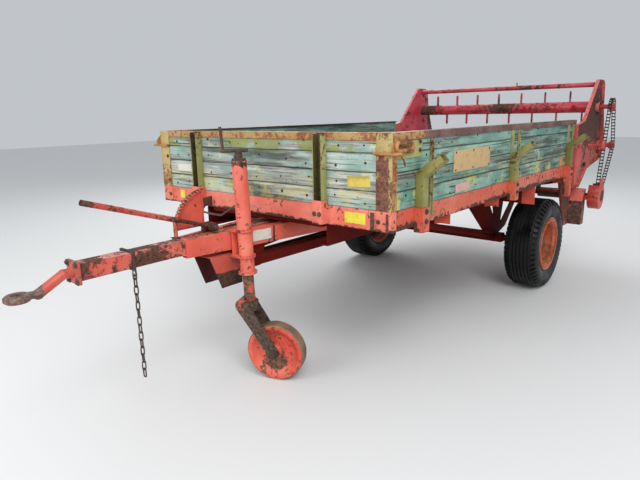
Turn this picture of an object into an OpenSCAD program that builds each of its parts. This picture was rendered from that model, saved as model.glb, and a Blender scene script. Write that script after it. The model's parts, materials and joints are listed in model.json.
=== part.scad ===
// Single-axle farm muck spreader with board sides, two tined beaters and a jack with a caster wheel.
// X points forward to the tow eye, Y to the machine's left, Z up, and Z = 0 is the ground.
// Lengths along X are laid out from the front face of the board walls.

/* [Load box] */
// Length of the side walls
box_len = 3150; // [2800:10:3300]
// Width over the outer faces of the boards
box_w = 2010; // [1900:10:2060]
// Boards in the height of each wall
plank_count = 4; // [3:1:5]
// Height of one board
plank_h = 97; // [80:1:110]
// Gap between boards
plank_gap = 3; // [1:0.5:6]
// Thickness of the wall boards
plank_t = 32; // [22:1:45]
// Thickness of the floor boards
floor_t = 30; // [20:1:40]
// Boards across the floor
floor_count = 13; // [9:1:16]
// Distance that the floor runs on behind the side walls
floor_tail = 320; // [200:10:330]
// Height of the angle iron on top of the walls
rail_h = 42; // [30:1:60]
// Width of the angle iron on top of the walls
rail_w = 60; // [45:1:80]
// Thickness of the angle iron on top of the walls
rail_t = 6; // [4:0.5:8]

/* [Chassis] */
// Ground to the underside of the sills
sill_z = 957; // [930:1:1000]
// Height of the sill channels
sill_h = 110; // [90:1:130]
// Flange width of the sill channels
sill_b = 50; // [40:1:60]
// Steel thickness of the sill channels
sill_t = 6; // [4:0.5:9]
// Length that the side sills fall short of the walls
sill_short = 0; // [0:5:60]
// Height of the chassis rails
frame_h = 140; // [120:1:150]
// Flange width of the chassis rails
frame_b = 55; // [40:1:70]
// Steel thickness of the chassis rails and cross members
frame_t = 7; // [5:0.5:10]
// Distance between the outer faces of the chassis rails
frame_w = 1100; // [1000:10:1150]
// Distance from the front wall to the axle
axle_back = 2548; // [2400:1:2600]
// Side of the square axle beam
axle_a = 80; // [60:1:100]
// Radius of the wheel spindles
spindle_r = 30; // [22:1:38]

/* [Wheels] */
// Outer radius of the tyres
tyre_r = 400; // [380:1:405]
// Width of the tyres
tyre_w = 290; // [240:5:300]
// Distance between the centre planes of the tyres
track = 1800; // [1760:5:1840]
// Radius over the rim flange
rim_r = 238; // [220:1:250]

/* [Drawbar] */
// Height of the tow eye's centre
eye_z = 800; // [760:1:840]
// Distance from the front wall to the tow eye's centre
eye_x = 1458; // [1400:1:1520]
// Bore radius of the tow eye
eye_bore_r = 25; // [20:0.5:30]
// Outer radius of the tow eye
eye_r = 58; // [50:1:66]
// Thickness of the tow eye
eye_t = 32; // [24:1:44]
// Radius of the cranked neck bar
neck_r = 24; // [18:1:28]
// Width of the drawbar tube
beam_w = 100; // [80:1:110]
// Height of the drawbar tube
beam_h = 80; // [70:1:90]
// Height of the drawbar tube's centre line
beam_z = 860; // [850:1:880]
// Distance from the front wall to the drawbar tube's front end
beam_x = 1190; // [1120:1:1220]
// Height of the drawbar side channels
arm_h = 105; // [95:1:120]
// Distance from the front wall to the front end of the side channels
arm_x = 600; // [520:5:680]
// Distance between the side channels' inner faces at their rear ends
arm_spread = 480; // [380:5:560]

/* [Jack] */
// Distance from the front wall to the jack, at the lower collar
jack_x = 268; // [240:1:280]
// Distance of the jack from the centre line
jack_y = 180; // [174:1:200]
// Lean of the jack, its top forward
jack_lean = 2; // [0:0.5:5]
// Height of the sleeve's lower end
sleeve_z = 660; // [640:1:680]
// Length of the sleeve
sleeve_len = 665; // [600:5:700]
// Outer radius of the sleeve
sleeve_r = 43; // [36:1:46]
// Wall of the sleeve
sleeve_wall = 10; // [6:0.5:12]
// Caster wheel radius
caster_r = 178; // [160:1:184]
// Caster wheel width
caster_w = 80; // [60:1:84]
// Distance of the caster wheel's axle from the jack's axis
trail = 153; // [140:1:165]
// Direction in which the caster trails, counted from straight ahead
trail_az = 113; // [90:1:130]

/* [Beaters] */
// Distance from the side walls' rear end to the upper beater
upper_aft = 660; // [640:1:680]
// Height of the upper beater
upper_z = 1585; // [1570:1:1600]
// Distance from the side walls' rear end to the lower beater
lower_aft = 800; // [780:1:810]
// Height of the lower beater
lower_z = 1195; // [1180:1:1205]
// Radius of the beater tubes
drum_r = 57; // [40:1:62]
// Radius to the tips of the tines
tip_r = 165; // [150:1:175]
// Tines on each beater
tine_count = 29; // [17:4:33]
// Width of a tine
tine_w = 38; // [26:1:44]
// Thickness of a tine
tine_t = 9; // [6:0.5:12]
// Height of the drive shaft and gearbox
drive_z = 708; // [690:1:725]
// Distance from the side walls' rear end to the cross drive shaft
drive_aft = 440; // [430:1:450]

/* [Drive chain] */
// Chain pitch
pitch = 31.75; // [28:0.25:34]
// Teeth on the upper beater's sprocket
upper_teeth = 15; // [13:1:16]
// Teeth on the lower beater's sprocket
lower_teeth = 12; // [11:1:14]
// Teeth on the cross shaft's sprocket
drive_teeth = 12; // [11:1:14]
// Roller radius of the chain
roller_r = 6; // [5:0.5:8]
// Distance of the chain's centre plane from the outer faces of the boards
chain_off = 145; // [135:1:150]

/* [Hidden] */
$fn = 48;

// Clearances: seat is left where pieces meet on a curve, run in a bearing, slip between sliding tubes
seat = 0.3;
run = 0.05;
slip = 0.5;

half_w = box_w / 2;
wall_z = sill_z + sill_h;
planks_h = plank_count * plank_h + (plank_count - 1) * plank_gap;
rail_top = wall_z + planks_h + rail_t;
rail_z = rail_top - rail_h;
floor_top = wall_z;
floor_len = box_len + floor_tail;
frame_z = sill_z - frame_h;
rail_in = frame_w / 2 - frame_b;
sill_end = box_len - sill_short;
beam_end = -150;
upper_back = box_len + upper_aft;
lower_back = box_len + lower_aft;
drive_back = box_len + drive_aft;
chain_y = half_w + chain_off;

// Stakes and their pockets
stake_w = 60;
stake_d = 50;
stake_t = 5;
stake_z = rail_top - 245;
flare_run = 118;
flare_rise = 92;
pocket_t = 6;
stake_ends = 220;
rear_pocket = 175;
// Distance behind the front wall, height of the pocket's lower end
STAKES = [[260, sill_z - 32], [1590, sill_z - 32], [box_len - stake_ends, sill_z - rear_pocket]];
side_reach = half_w + stake_d + flare_run;

// Straps on the side walls, distance behind the front wall
STRAPS = [395, 1705, box_len - 90];
strap_foot = 45;
strap_w = 34;
strap_d = 12;

// Posts on the front wall, distance from the centre line
POSTS = [-560, 545];
post_w = 62;
post_d = 50;
post_t = 5;
corner_w = 96;
corner_d = 40;
corner_t = 6;

// Cross members, distance behind the front wall; the first is lower, above the drawbar
CROSS = [40, 650, 1400, 2150, box_len - 220, drive_back + 30];
first_h = 34;
frame_end = drive_back + 105;
cross_t = 8;

// Extent of the whole machine, from which its frame is centred
x_front = eye_x + eye_r;
x_rear = -(lower_back + tip_r);
mid_x = (x_front + x_rear) / 2;
shaft_end = chain_y + 30;
guard_out = chain_y + 40;
mid_y = (max(guard_out, side_reach) - side_reach) / 2;

// Colours as painted and worn
red = [0.78, 0.22, 0.16];
dark_red = [0.42, 0.09, 0.08];
rust = [0.40, 0.26, 0.18];
straw = [0.70, 0.68, 0.36];
board = [0.55, 0.64, 0.60];
steel = [0.35, 0.32, 0.30];
black = [0.08, 0.08, 0.09];

module place() { translate([-mid_x, -mid_y, 0]) children(); }
module mirrored() {
    children();
    mirror([0, 1, 0]) children();
}
// A block from its low corner to its high corner
module block(lo, hi) { translate(lo) cube(hi - lo); }
// A round bar between two points
module rod(p, q, r) {
    v = q - p;
    translate(p) rotate([0, acos(v[2] / norm(v)), atan2(v[1], v[0])]) cylinder(r = r, h = norm(v));
}
// A section drawn in X and Y, run from one point to another with its X side down
module run_between(p, q) {
    v = q - p;
    translate(p) rotate([0, acos(v[2] / norm(v)), atan2(v[1], v[0])]) linear_extrude(norm(v)) children();
}
// A flat plate drawn in X and Z, from y to y + t
module plate_xz(y, t) { translate([0, y + t, 0]) rotate([90, 0, 0]) linear_extrude(t) children(); }
// A section drawn in Y and Z, run along X from x0 to x1
module along_x(x0, x1) { translate([x0, 0, 0]) rotate([90, 0, 90]) linear_extrude(x1 - x0) children(); }
// A cylinder along Y, centred on a point
module axle_y(x, z, r, y0, y1) {
    translate([x, y1, z]) rotate([90, 0, 0]) cylinder(r = r, h = y1 - y0);
}
module ring2d(ro, ri) {
    difference() {
        circle(ro);
        circle(ri);
    }
}
// Channel with its back at x = 0, opening towards +X
module channel2d(b, h, t) {
    difference() {
        square([b, h]);
        translate([t, t]) square([b, h - 2 * t]);
    }
}

// Drawbar
neck_path = [[eye_x - eye_r + 8, 0, eye_z], [eye_x - 88, 0, eye_z - 4], [eye_x - 208, 0, beam_z],
    [beam_x + 12, 0, beam_z]];
end_plate = 112;
end_t = 15;
beam_wall = 6;
arm_t = 7;
arm_b = 50;
arm_end = -CROSS[1] + cross_t;
arm_z = frame_z - 17;
arm_len = norm([arm_x - arm_end, arm_spread / 2 - beam_w / 2]);
arm_ang = atan2(arm_spread / 2 - beam_w / 2, arm_x - arm_end);
// Distance of a side channel's outer face from the centre line at x
function arm_face(x) = beam_w / 2 + arm_t / cos(arm_ang) + (arm_x - x) * tan(arm_ang);

module tow_eye() {
    color(rust) place() difference() {
        union() {
            translate([eye_x, 0, eye_z]) rotate_extrude()
                polygon([[eye_bore_r, -eye_t / 2], [eye_r - 9, -eye_t / 2], [eye_r, -eye_t / 4],
                    [eye_r, eye_t / 4], [eye_r - 9, eye_t / 2], [eye_bore_r, eye_t / 2]]);
            for (i = [0:2]) rod(neck_path[i], neck_path[i + 1], neck_r - (i == 0 ? 6 : 0));
            for (i = [1:2]) translate(neck_path[i]) sphere(neck_r + 1);
            block([beam_x, -end_plate / 2, beam_z - end_plate / 2],
                [beam_x + end_t, end_plate / 2, beam_z + end_plate / 2]);
        }
        translate([eye_x, 0, eye_z - eye_t]) cylinder(r = eye_bore_r, h = 2 * eye_t);
    }
}

module drawbar_beam() {
    color(red) place() along_x(beam_end, beam_x) translate([-beam_w / 2, beam_z - beam_h / 2]) difference() {
        square([beam_w, beam_h]);
        translate([beam_wall, beam_wall]) square([beam_w - 2 * beam_wall, beam_h - 2 * beam_wall]);
    }
}

module arm_strip(w) {
    translate([arm_x, beam_w / 2, 0]) rotate([0, 0, 180 - arm_ang]) translate([0, -arm_t, 0])
        square([arm_len, w]);
}
module drawbar_arms() {
    color(red) place() mirrored() difference() {
        union() {
            translate([0, 0, arm_z]) linear_extrude(arm_h) arm_strip(arm_t);
            for (z = [arm_z, arm_z + arm_h - arm_t]) translate([0, 0, z]) linear_extrude(arm_t)
                arm_strip(arm_b);
        }
        block([beam_end, -beam_w, beam_z - beam_h / 2], [beam_x, beam_w / 2, 2 * beam_z]);
        block([-2 * arm_x, -beam_w, 0], [arm_x, 0, 2 * arm_z]);
        block([-2 * arm_x, 0, 0], [arm_end, 2 * arm_spread, 2 * arm_z]);
    }
}

// Lower braces from the jack's foot bracket back to the third cross member
brace_a = 62;
brace_t = 6;
brace_from = [170, 122, 700];
brace_y = 318;
brace_to = [-CROSS[2] + cross_t, brace_y, frame_z - 60];
module drawbar_braces() {
    color(dark_red) place() mirrored() {
        difference() {
            run_between(brace_from, brace_to) difference() {
                translate([-brace_a / 2, 0]) square([brace_a, brace_a]);
                translate([-brace_a / 2 + brace_t, brace_t]) square([brace_a, brace_a]);
            }
            block([-2 * CROSS[2], 0, 0], [brace_to[0], box_w, 2 * frame_z]);
        }
        plate_xz(brace_from[1] - 8, 8) polygon([[110, 665], [200, 665], [200, arm_z], [60, arm_z]]);
        block([-CROSS[2], brace_to[1] - 45, brace_to[2] - brace_a / 2], [brace_to[0], brace_to[1] + 45, frame_z + 60]);
    }
}

// Jack, drawn upright from its lower collar and then leaned
module on_jack() { translate([jack_x, jack_y, sleeve_z]) rotate([0, jack_lean, 0]) children(); }
collar_t = 14;
collar_r = 54;
foot_r = 56;
collar_low = 100;
collar_high = 256;
leg_r = sleeve_r - sleeve_wall - slip;
leg_len = sleeve_len - 45;
fork_drop = 158;
module jack_bracket() {
    color(red) place() difference() {
        union() {
            on_jack() for (z = [collar_low, collar_high]) translate([0, 0, z]) linear_extrude(collar_t) {
                circle(collar_r);
                translate([-collar_r, -110]) square([2 * collar_r, 110]);
            }
            plate_xz(arm_face(jack_x) + 4, 12)
                translate([jack_x - collar_r, sleeve_z + collar_low]) square([2 * collar_r, 170]);
        }
        on_jack() translate([0, 0, -sleeve_len]) cylinder(r = sleeve_r + seat, h = 3 * sleeve_len);
        linear_extrude(3 * arm_z) translate([arm_x, beam_w / 2, 0]) rotate([0, 0, 180 - arm_ang])
            translate([-arm_len, -arm_t, 0]) square([3 * arm_len, box_w]);
    }
}

module jack_sleeve() {
    color(red) place() on_jack() difference() {
        union() {
            cylinder(r = sleeve_r, h = sleeve_len);
            cylinder(r = foot_r, h = collar_t);
            translate([0, 0, sleeve_len]) cylinder(r = sleeve_r - 4, h = 12);
            translate([0, 0, sleeve_len + 12]) cylinder(r = 21, h = 26);
        }
        translate([0, 0, -1]) cylinder(r = leg_r + slip, h = sleeve_len - 6);
        translate([0, 0, sleeve_len]) cylinder(r = 12 + run, h = 60);
    }
}

crank_az = -49;
module jack_crank() {
    color(rust) place() on_jack() translate([0, 0, sleeve_len]) {
        translate([0, 0, 6]) cylinder(r = 12, h = 50);
        translate([0, 0, 40]) cylinder(r = 20, h = 8);
        rotate([0, 0, crank_az]) {
            rod([-55, 0, 54], [97, 0, 54], 10);
            rod([85, 0, 51], [91, 0, 187], 8.5);
        }
    }
}

module jack_leg() {
    color(rust) place() on_jack() translate([0, 0, -fork_drop - 40]) cylinder(r = leg_r, h = leg_len);
}

// Caster: its fork turns on the leg and its wheel runs on the ground, all leaned with the jack
wheel_tread = caster_w / 2 - 7;
axle_tilt = sin(trail_az) * sin(jack_lean);
hub_z = caster_r * sqrt(1 - axle_tilt * axle_tilt) + wheel_tread * axle_tilt;
hub_drop = (sleeve_z - trail * cos(trail_az) * sin(jack_lean) - hub_z) / cos(jack_lean);
fork_in = caster_w / 2 + 9;
fork_t = 9;
fork_top = [-28, -fork_drop - 34];
fork_top_r = 44;
fork_web = 155;
web_t = 8;
axle_r = 14;
module in_wheel_plane(y) { on_jack() rotate([0, 0, trail_az]) translate([0, y, 0]) rotate([90, 0, 0]) children(); }
module fork_outline(inset) {
    hull() {
        translate(fork_top) circle(fork_top_r - inset, $fn = 32);
        translate([trail, -hub_drop]) circle(34 - inset, $fn = 32);
    }
}
module caster_fork() {
    d = ([trail, -hub_drop] - fork_top) / norm([trail, -hub_drop] - fork_top);
    n = [d[1], -d[0]];
    low = fork_top + fork_top_r * n + fork_web * d;
    color(rust) place() {
        difference() {
            union() {
                for (y = [-fork_in, fork_in + fork_t]) in_wheel_plane(y) linear_extrude(fork_t) fork_outline(0);
                in_wheel_plane(fork_in + 1) linear_extrude(2 * fork_in + 2) intersection() {
                    difference() {
                        fork_outline(0);
                        fork_outline(web_t);
                    }
                    polygon([[-150, -fork_drop], [-5, -fork_drop + 80], fork_top, low - 20 * n, low + 20 * n,
                        [-150, -fork_drop - 80]]);
                }
                on_jack() translate([0, 0, -fork_drop - 70]) cylinder(r = fork_in + 1, h = 56);
            }
            on_jack() translate([0, 0, -fork_drop - 40 - run]) cylinder(r = leg_r + run, h = 120);
            on_jack() translate([0, 0, -fork_drop - 80]) cylinder(r = 20, h = 90);
        }
        in_wheel_plane(fork_in + fork_t + 6) translate([trail, -hub_drop, 0])
            cylinder(r = axle_r, h = 2 * fork_in + 2 * fork_t + 12);
    }
}

module caster_wheel() {
    h = caster_w / 2;
    color(red) place() in_wheel_plane(h) translate([trail, -hub_drop, 0]) rotate_extrude() translate([0, h])
        polygon([[axle_r + run, -h + 2], [36, -h + 2], [44, -24], [44, -6], [110, -6], [140, -h + 12], [150, -h],
            [caster_r - 5, -h], [caster_r, 7 - h], [caster_r, h - 7], [caster_r - 5, h], [150, h],
            [140, h - 12], [110, 6], [44, 6], [44, 24], [36, h - 2], [axle_r + run, h - 2]]);
}

// Drive from the tractor, under a folded hood
hood_w = 160;
hood_t = 4;
hood_x0 = 225;
hood_x1 = 460;
hood_z0 = 575;
hood_z1 = 775;
shaft_r = 22;
stub_r = 17.45;
module pto_hood() {
    color(dark_red) place() {
        difference() {
            block([hood_x0, -hood_w / 2, hood_z0], [hood_x1, hood_w / 2, hood_z1]);
            block([hood_x0 - 1, -hood_w / 2 + hood_t, hood_z0 - 1],
                [hood_x1 + 1, hood_w / 2 - hood_t, hood_z1 - hood_t]);
            plate_xz(-hood_w, 2 * hood_w) polygon([[hood_x1 - 75, hood_z0 - 1], [hood_x1 + 1, hood_z0 - 1],
                [hood_x1 + 1, hood_z1]]);
        }
        for (x = [hood_x0 + 20, hood_x1 - 60]) block([x, -30, hood_z1], [x + 30, 30, beam_z - beam_h / 2]);
    }
}

gear_x = -drive_back;
module pto_shaft() {
    color(steel) place() {
        translate([-drive_back + 125, 0, drive_z]) rotate([0, 90, 0])
            cylinder(r = shaft_r, h = drive_back - 125 + 250);
        translate([250, 0, drive_z]) rotate([0, 90, 0]) cylinder(r = stub_r, h = 110);
    }
}

module hanger(x) {
    difference() {
        union() {
            translate([x - 20, 0, drive_z]) rotate([0, 90, 0]) cylinder(r = 42, h = 40);
            block([x - 6, -42, drive_z], [x + 6, 42, frame_z]);
        }
        translate([x - 21, 0, drive_z]) rotate([0, 90, 0]) cylinder(r = shaft_r + run, h = 42);
    }
}

module rear_gearbox() {
    color(dark_red) place() difference() {
        union() {
            block([gear_x - 110, -100, drive_z - 90], [gear_x + 110, 100, drive_z + 90]);
            translate([gear_x + 110, 0, drive_z]) rotate([0, 90, 0]) cylinder(r = 60, h = 40);
            axle_y(gear_x, drive_z, 60, -130, 130);
            block([gear_x - 90, -80, drive_z + 89], [gear_x + 30, 80, frame_z]);
        }
        translate([gear_x + 80, 0, drive_z]) rotate([0, 90, 0]) cylinder(r = shaft_r + run, h = 80);
        axle_y(gear_x, drive_z, shaft_r + run, -80, 140);
    }
}

// Quadrant and hand lever on top of the drawbar
quad_y = -50;
quad_w = 30;
beam_top = beam_z + beam_h / 2;
pivot = [365, beam_top + 35];
quad_r = 225;
lever_ang = 18;
lever_r = 15;
lever_y = -2;
notches = 11;
pin_r = 14;
quad_rib = pivot[0] + 35;
quad_base = beam_top + 50;
quad_foot = pivot[0] + quad_r - 8;
module quadrant_solid() {
    translate([pivot[0], quad_y + quad_w / 2, pivot[1]]) rotate([90, 0, 0]) linear_extrude(quad_w)
        difference() {
            intersection() {
                ring2d(quad_r, quad_r - 12);
                polygon([[0, 0], [2 * quad_r * cos(lever_ang + 4), 2 * quad_r * sin(lever_ang + 4)],
                    [2 * quad_r, 2 * quad_r], [20, 2 * quad_r]]);
            }
            for (i = [1:notches]) rotate([0, 0, lever_ang + 4 + i * 5.4]) translate([quad_r - 4, 0])
                circle(5, $fn = 8);
        }
    plate_xz(quad_y - 3, 6) intersection() {
        translate(pivot) circle(quad_r - 8);
        translate([quad_rib, quad_base]) square(quad_r);
    }
    block([quad_rib - 6, quad_y - quad_w / 2, beam_top], [quad_rib, quad_y + quad_w / 2, pivot[1] + quad_r - 8]);
    block([quad_rib - 1, quad_y - quad_w / 2, quad_base - 6], [quad_foot + 4, quad_y + quad_w / 2, quad_base]);
    block([quad_foot, quad_y - quad_w / 2, beam_top + 7], [quad_foot + 8, quad_y + quad_w / 2, pivot[1] + 82]);
    block([quad_foot - 8, quad_y - quad_w / 2, beam_top], [quad_foot + 32, quad_y + quad_w / 2 + 6, beam_top + 8]);
    plate_xz(quad_y - 3, 8) polygon([[pivot[0] - 22, beam_top], [quad_rib, beam_top], [quad_rib, quad_base],
        [pivot[0] + 12, pivot[1] + 26], [pivot[0] - 12, pivot[1] + 26], [pivot[0] - 22, pivot[1] + 12]]);
    axle_y(pivot[0], pivot[1], pin_r, quad_y - 20, lever_y + 24);
}
// The side channels of the drawbar pass below it
module quadrant() {
    color(red) place() difference() {
        quadrant_solid();
        block([0, quad_y - 60, 0], [arm_x + 20, -beam_w / 2, arm_z + arm_h + seat]);
    }
}

lever_len = 800;
lever_stem = 240;
module hand_lever() {
    color(red) place() translate([pivot[0], lever_y, pivot[1]]) rotate([0, -lever_ang, 0]) difference() {
        union() {
            axle_y(0, 0, 28, -12, 12);
            rotate([0, 90, 0]) translate([0, 0, 20]) cylinder(r = 11, h = lever_stem);
            rotate([0, 90, 0]) translate([0, 0, lever_stem]) cylinder(r = lever_r, h = lever_len - lever_stem);
        }
        axle_y(0, 0, pin_r + run, -20, 20);
        rotate([0, 90, 0]) translate([0, 0, 300]) cylinder(r = lever_r - 3, h = lever_len);
    }
}

module brake_rod() {
    color(steel) place() {
        rod([300, 22, beam_top + 26], [-CROSS[0], 22, beam_top + 26], 7);
        block([120, 12, beam_top], [132, 32, beam_top + 23]);
    }
}

// Hanging chain of oval links, each turned a quarter from the last
link_n = 14;
link_pitch = 42;
link_d = 8;
chain_x = 918;
module link_solid() {
    for (s = [-1, 1]) translate([s * 10, 0, -link_pitch / 2 + 4]) cylinder(r = link_d / 2, h = link_pitch - 8, $fn = 6);
    for (s = [-1, 1]) translate([-13, -link_d / 2, s * (link_pitch / 2 - 1) - 3.2]) cube([26, link_d, 6.4]);
}
module safety_chain() {
    color(steel) place() {
        difference() {
            block([chain_x - 8, -beam_w / 2 - 12, beam_z - beam_h / 2 - 12],
                [chain_x + 8, beam_w / 2 + 12, beam_z + beam_h / 2 + 12]);
            block([chain_x - 9, -beam_w / 2, beam_z - beam_h / 2],
                [chain_x + 9, beam_w / 2, beam_z + beam_h / 2]);
        }
        for (i = [0:link_n - 1]) translate([chain_x, beam_w / 2 + 2, beam_z - beam_h / 2 - 34 - i * link_pitch])
            rotate([0, 0, i % 2 * 90]) link_solid();
    }
}

// Chassis
module chassis_rails() {
    color(dark_red) place() mirrored() along_x(-frame_end, -30) translate([frame_w / 2, frame_z])
        mirror([1, 0]) channel2d(frame_b, frame_h, frame_t);
}

out_h = 60;
module cross_members() {
    color(dark_red) place() {
        for (i = [0:5]) {
            x = CROSS[i];
            z0 = i == 0 ? sill_z - first_h : frame_z;
            block([-x - cross_t, -rail_in, z0], [-x, rail_in, sill_z]);
            for (z = [z0, sill_z - cross_t]) block([-x - 60, -rail_in, z], [-x, rail_in, z + cross_t]);
        }
        for (i = [1:4]) mirrored() translate([-CROSS[i], 0, 0]) rotate([90, 0, -90]) linear_extrude(cross_t)
            polygon([[-frame_w / 2, frame_z], [-frame_w / 2, sill_z], [-half_w, sill_z],
                [-half_w, sill_z - (i == 3 ? 150 : out_h)], [-half_w + 60, sill_z - (i == 3 ? 150 : out_h)]]);
        for (x = [CROSS[1], CROSS[2], CROSS[3]]) hanger(-x - 20);
    }
}

// Axle and the stands that carry the chassis on it
axle_z = tyre_r;
module axle_beam() {
    color(dark_red) place() {
        block([-axle_back - axle_a / 2, -frame_w / 2 - 60, axle_z - axle_a / 2],
            [-axle_back + axle_a / 2, frame_w / 2 + 60, axle_z + axle_a / 2]);
        mirrored() axle_y(-axle_back, axle_z, spindle_r, frame_w / 2 + 60, track / 2 + 60);
    }
}

stand_t = 10;
module axle_stands() {
    color(dark_red) place() mirrored() {
        plate_xz(frame_w / 2 - stand_t, stand_t) difference() {
            polygon([[-axle_back + 690, frame_z], [-axle_back + 250, axle_z + 60], [-axle_back + 60, axle_z + axle_a / 2],
                [-axle_back - 60, axle_z + axle_a / 2], [-axle_back - 200, axle_z + 80], [-axle_back - 560, frame_z]]);
            polygon([[-axle_back + 250, frame_z - 20], [-axle_back + 145, frame_z - 20], [-axle_back + 90, axle_z + 200]]);
            polygon([[-axle_back - 130, frame_z - 20], [-axle_back - 420, frame_z - 20], [-axle_back - 60, axle_z + 120]]);
        }
        run_between([-axle_back + axle_a / 2 + 6, frame_w / 2 + 24, axle_z + 14],
            [-CROSS[1] - cross_t - 22, frame_w / 2 + 24, frame_z + 50])
            difference() {
                translate([-25, -24]) square([50, 48]);
                translate([-19, -18]) square([50, 48]);
            }
    }
}

// Sills
module front_sill() {
    color(red) place() {
        rotate([90, 0, 0]) translate([0, 0, -half_w]) linear_extrude(box_w) translate([0, sill_z])
            mirror([1, 0]) channel2d(sill_b, sill_h, sill_t);
        for (y = POSTS) difference() {
            block([0, y - post_w / 2 - 7, sill_z + 5], [post_d + 7, y + post_w / 2 + 7, wall_z + 30]);
            block([-1, y - post_w / 2, sill_z + 12], [post_d, y + post_w / 2, wall_z + 31]);
        }
    }
}

module side_sills() {
    color(red) place() mirrored() {
        along_x(-sill_end, -sill_b) translate([half_w, sill_z]) mirror([1, 0]) channel2d(sill_b, sill_h, sill_t);
        for (s = STAKES) difference() {
            block([-s[0] - stake_w / 2 - pocket_t, half_w, s[1]],
                [-s[0] + stake_w / 2 + pocket_t, half_w + stake_d + pocket_t, wall_z - 5]);
            block([-s[0] - stake_w / 2, half_w - 1, sill_z + 3],
                [-s[0] + stake_w / 2, half_w + stake_d, wall_z]);
        }
    }
}

// Floor boards lie along the machine, on angle bearers between the sills
board_w = (box_w - 2 * sill_b - (floor_count - 1) * plank_gap) / floor_count;
bearer_h = 28;
module floor_boards() {
    color(board) place() difference() {
        union() {
            for (i = [0:floor_count - 1]) {
                y = -half_w + sill_b + i * (board_w + plank_gap);
                block([-floor_len, y, floor_top - floor_t], [-sill_b, y + board_w, floor_top]);
            }
            for (i = [1:4]) block([-CROSS[i] - 70, -half_w + sill_t, floor_top - floor_t - bearer_h],
                [-CROSS[i] - 20, half_w - sill_t, floor_top - floor_t]);
        }
        axle_y(loop_x0, loop_z, 25, -box_w, box_w);
        for (s = [-1, 1]) block([loop_x0 - loop_r, s * loop_y - 18, 0], [0, s * loop_y + 18, rail_top]);
    }
}

// Floor conveyor: two flat chain loops that carry slats, over a front and a rear shaft
loop_r = (floor_top + 8 - (sill_z + 20)) / 2;
loop_z = (floor_top + 8 + sill_z + 20) / 2;
loop_x0 = -sill_b - loop_r - 18;
loop_x1 = -floor_len - 50;
loop_y = 700;
slat_pitch = 300;
slat_count = floor((loop_x0 - loop_x1 - 220) / slat_pitch) + 1;
slat_len = half_w - sill_b - 12;
module scraper_chain() {
    color(rust) place() {
        for (s = [-1, 1]) plate_xz(s * loop_y - 12, 24) difference() {
            hull() {
                translate([loop_x0, loop_z]) circle(loop_r + 7);
                translate([loop_x1, loop_z]) circle(loop_r + 7);
            }
            hull() {
                translate([loop_x0, loop_z]) circle(loop_r - 7);
                translate([loop_x1, loop_z]) circle(loop_r - 7);
            }
        }
        for (i = [0:slat_count - 1]) {
            x = loop_x0 - 120 - i * slat_pitch;
            block([x - 22, -slat_len, floor_top + 1], [x + 22, slat_len, floor_top + 30]);
            block([x - 172, -slat_len, sill_z + 3], [x - 128, slat_len, sill_z + 30]);
        }
    }
}

module scraper_shafts() {
    color(steel) place() for (x = [loop_x0, loop_x1]) {
        end = x == loop_x0 ? half_w - sill_t : half_w + rear_t + 15;
        axle_y(x, loop_z, 20, -end, end);
        for (s = [-1, 1]) axle_y(x, loop_z, loop_r - 7 - seat, s * loop_y - 10, s * loop_y + 10);
    }
}

// Walls
module boards(len) {
    for (i = [0:plank_count - 1]) translate([0, 0, wall_z + i * (plank_h + plank_gap)])
        cube([len, plank_t, plank_h]);
}
module front_planks() {
    color(board) place() translate([0, -half_w, 0]) rotate([0, 0, 90]) boards(box_w);
}
module side_planks() {
    translate([-box_len, half_w - plank_t, 0]) boards(box_len - plank_t);
}
module side_planks_left() { color(board) place() side_planks(); }
module side_planks_right() { color(board) place() mirror([0, 1, 0]) side_planks(); }

// Posts on the front wall and the angle posts at its corners
module front_posts() {
    color(straw) place() {
        for (y = POSTS) translate([0, y - post_w / 2, sill_z + 12]) linear_extrude(rail_top - sill_z - 20)
            difference() {
                square([post_d, post_w]);
                translate([post_t, post_t]) square([post_d, post_w - 2 * post_t]);
            }
        mirrored() translate([0, half_w - corner_w, sill_z]) linear_extrude(rail_top - sill_z) difference() {
            translate([-corner_d, 0]) square([corner_d + corner_t, corner_w + corner_t]);
            translate([-corner_d - 1, -1]) square([corner_d + 1, corner_w + 1]);
        }
    }
}

module top_rails() {
    color(rust) place() difference() {
        union() {
            block([-rail_w + rail_t, -half_w - rail_t, rail_top - rail_t], [rail_t, half_w + rail_t, rail_top]);
            block([0, -half_w - rail_t, rail_z], [rail_t, half_w + rail_t, rail_top]);
            mirrored() {
                block([-box_len, half_w + rail_t - rail_w, rail_top - rail_t], [0, half_w + rail_t, rail_top]);
                block([-box_len, half_w, rail_z], [0, half_w + rail_t, rail_top]);
            }
        }
        for (y = POSTS) block([0, y - post_w / 2, rail_z - 1], [post_d, y + post_w / 2, rail_top - rail_t]);
        mirrored() {
            block([0, half_w - corner_w, rail_z - 1], [corner_t + 1, half_w + corner_t + 1, rail_top + 1]);
            block([-corner_d, half_w, rail_z - 1], [1, half_w + corner_t + 1, rail_top + 1]);
        }
    }
}

module side_straps() {
    color(straw) place() mirrored() for (x = STRAPS) {
        difference() {
            block([-x - strap_w / 2, half_w, sill_z + 40], [-x + strap_w / 2, half_w + strap_d, rail_z]);
            block([-x - strap_w / 2 + 7, half_w + 5, sill_z], [-x + strap_w / 2 - 7, half_w + strap_d + 1, rail_top]);
        }
        if (x < STRAPS[2]) block([-x - strap_w / 2 - strap_foot, half_w, sill_z + 40],
            [-x - strap_w / 2, half_w + strap_d, sill_z + 52]);
    }
}

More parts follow.
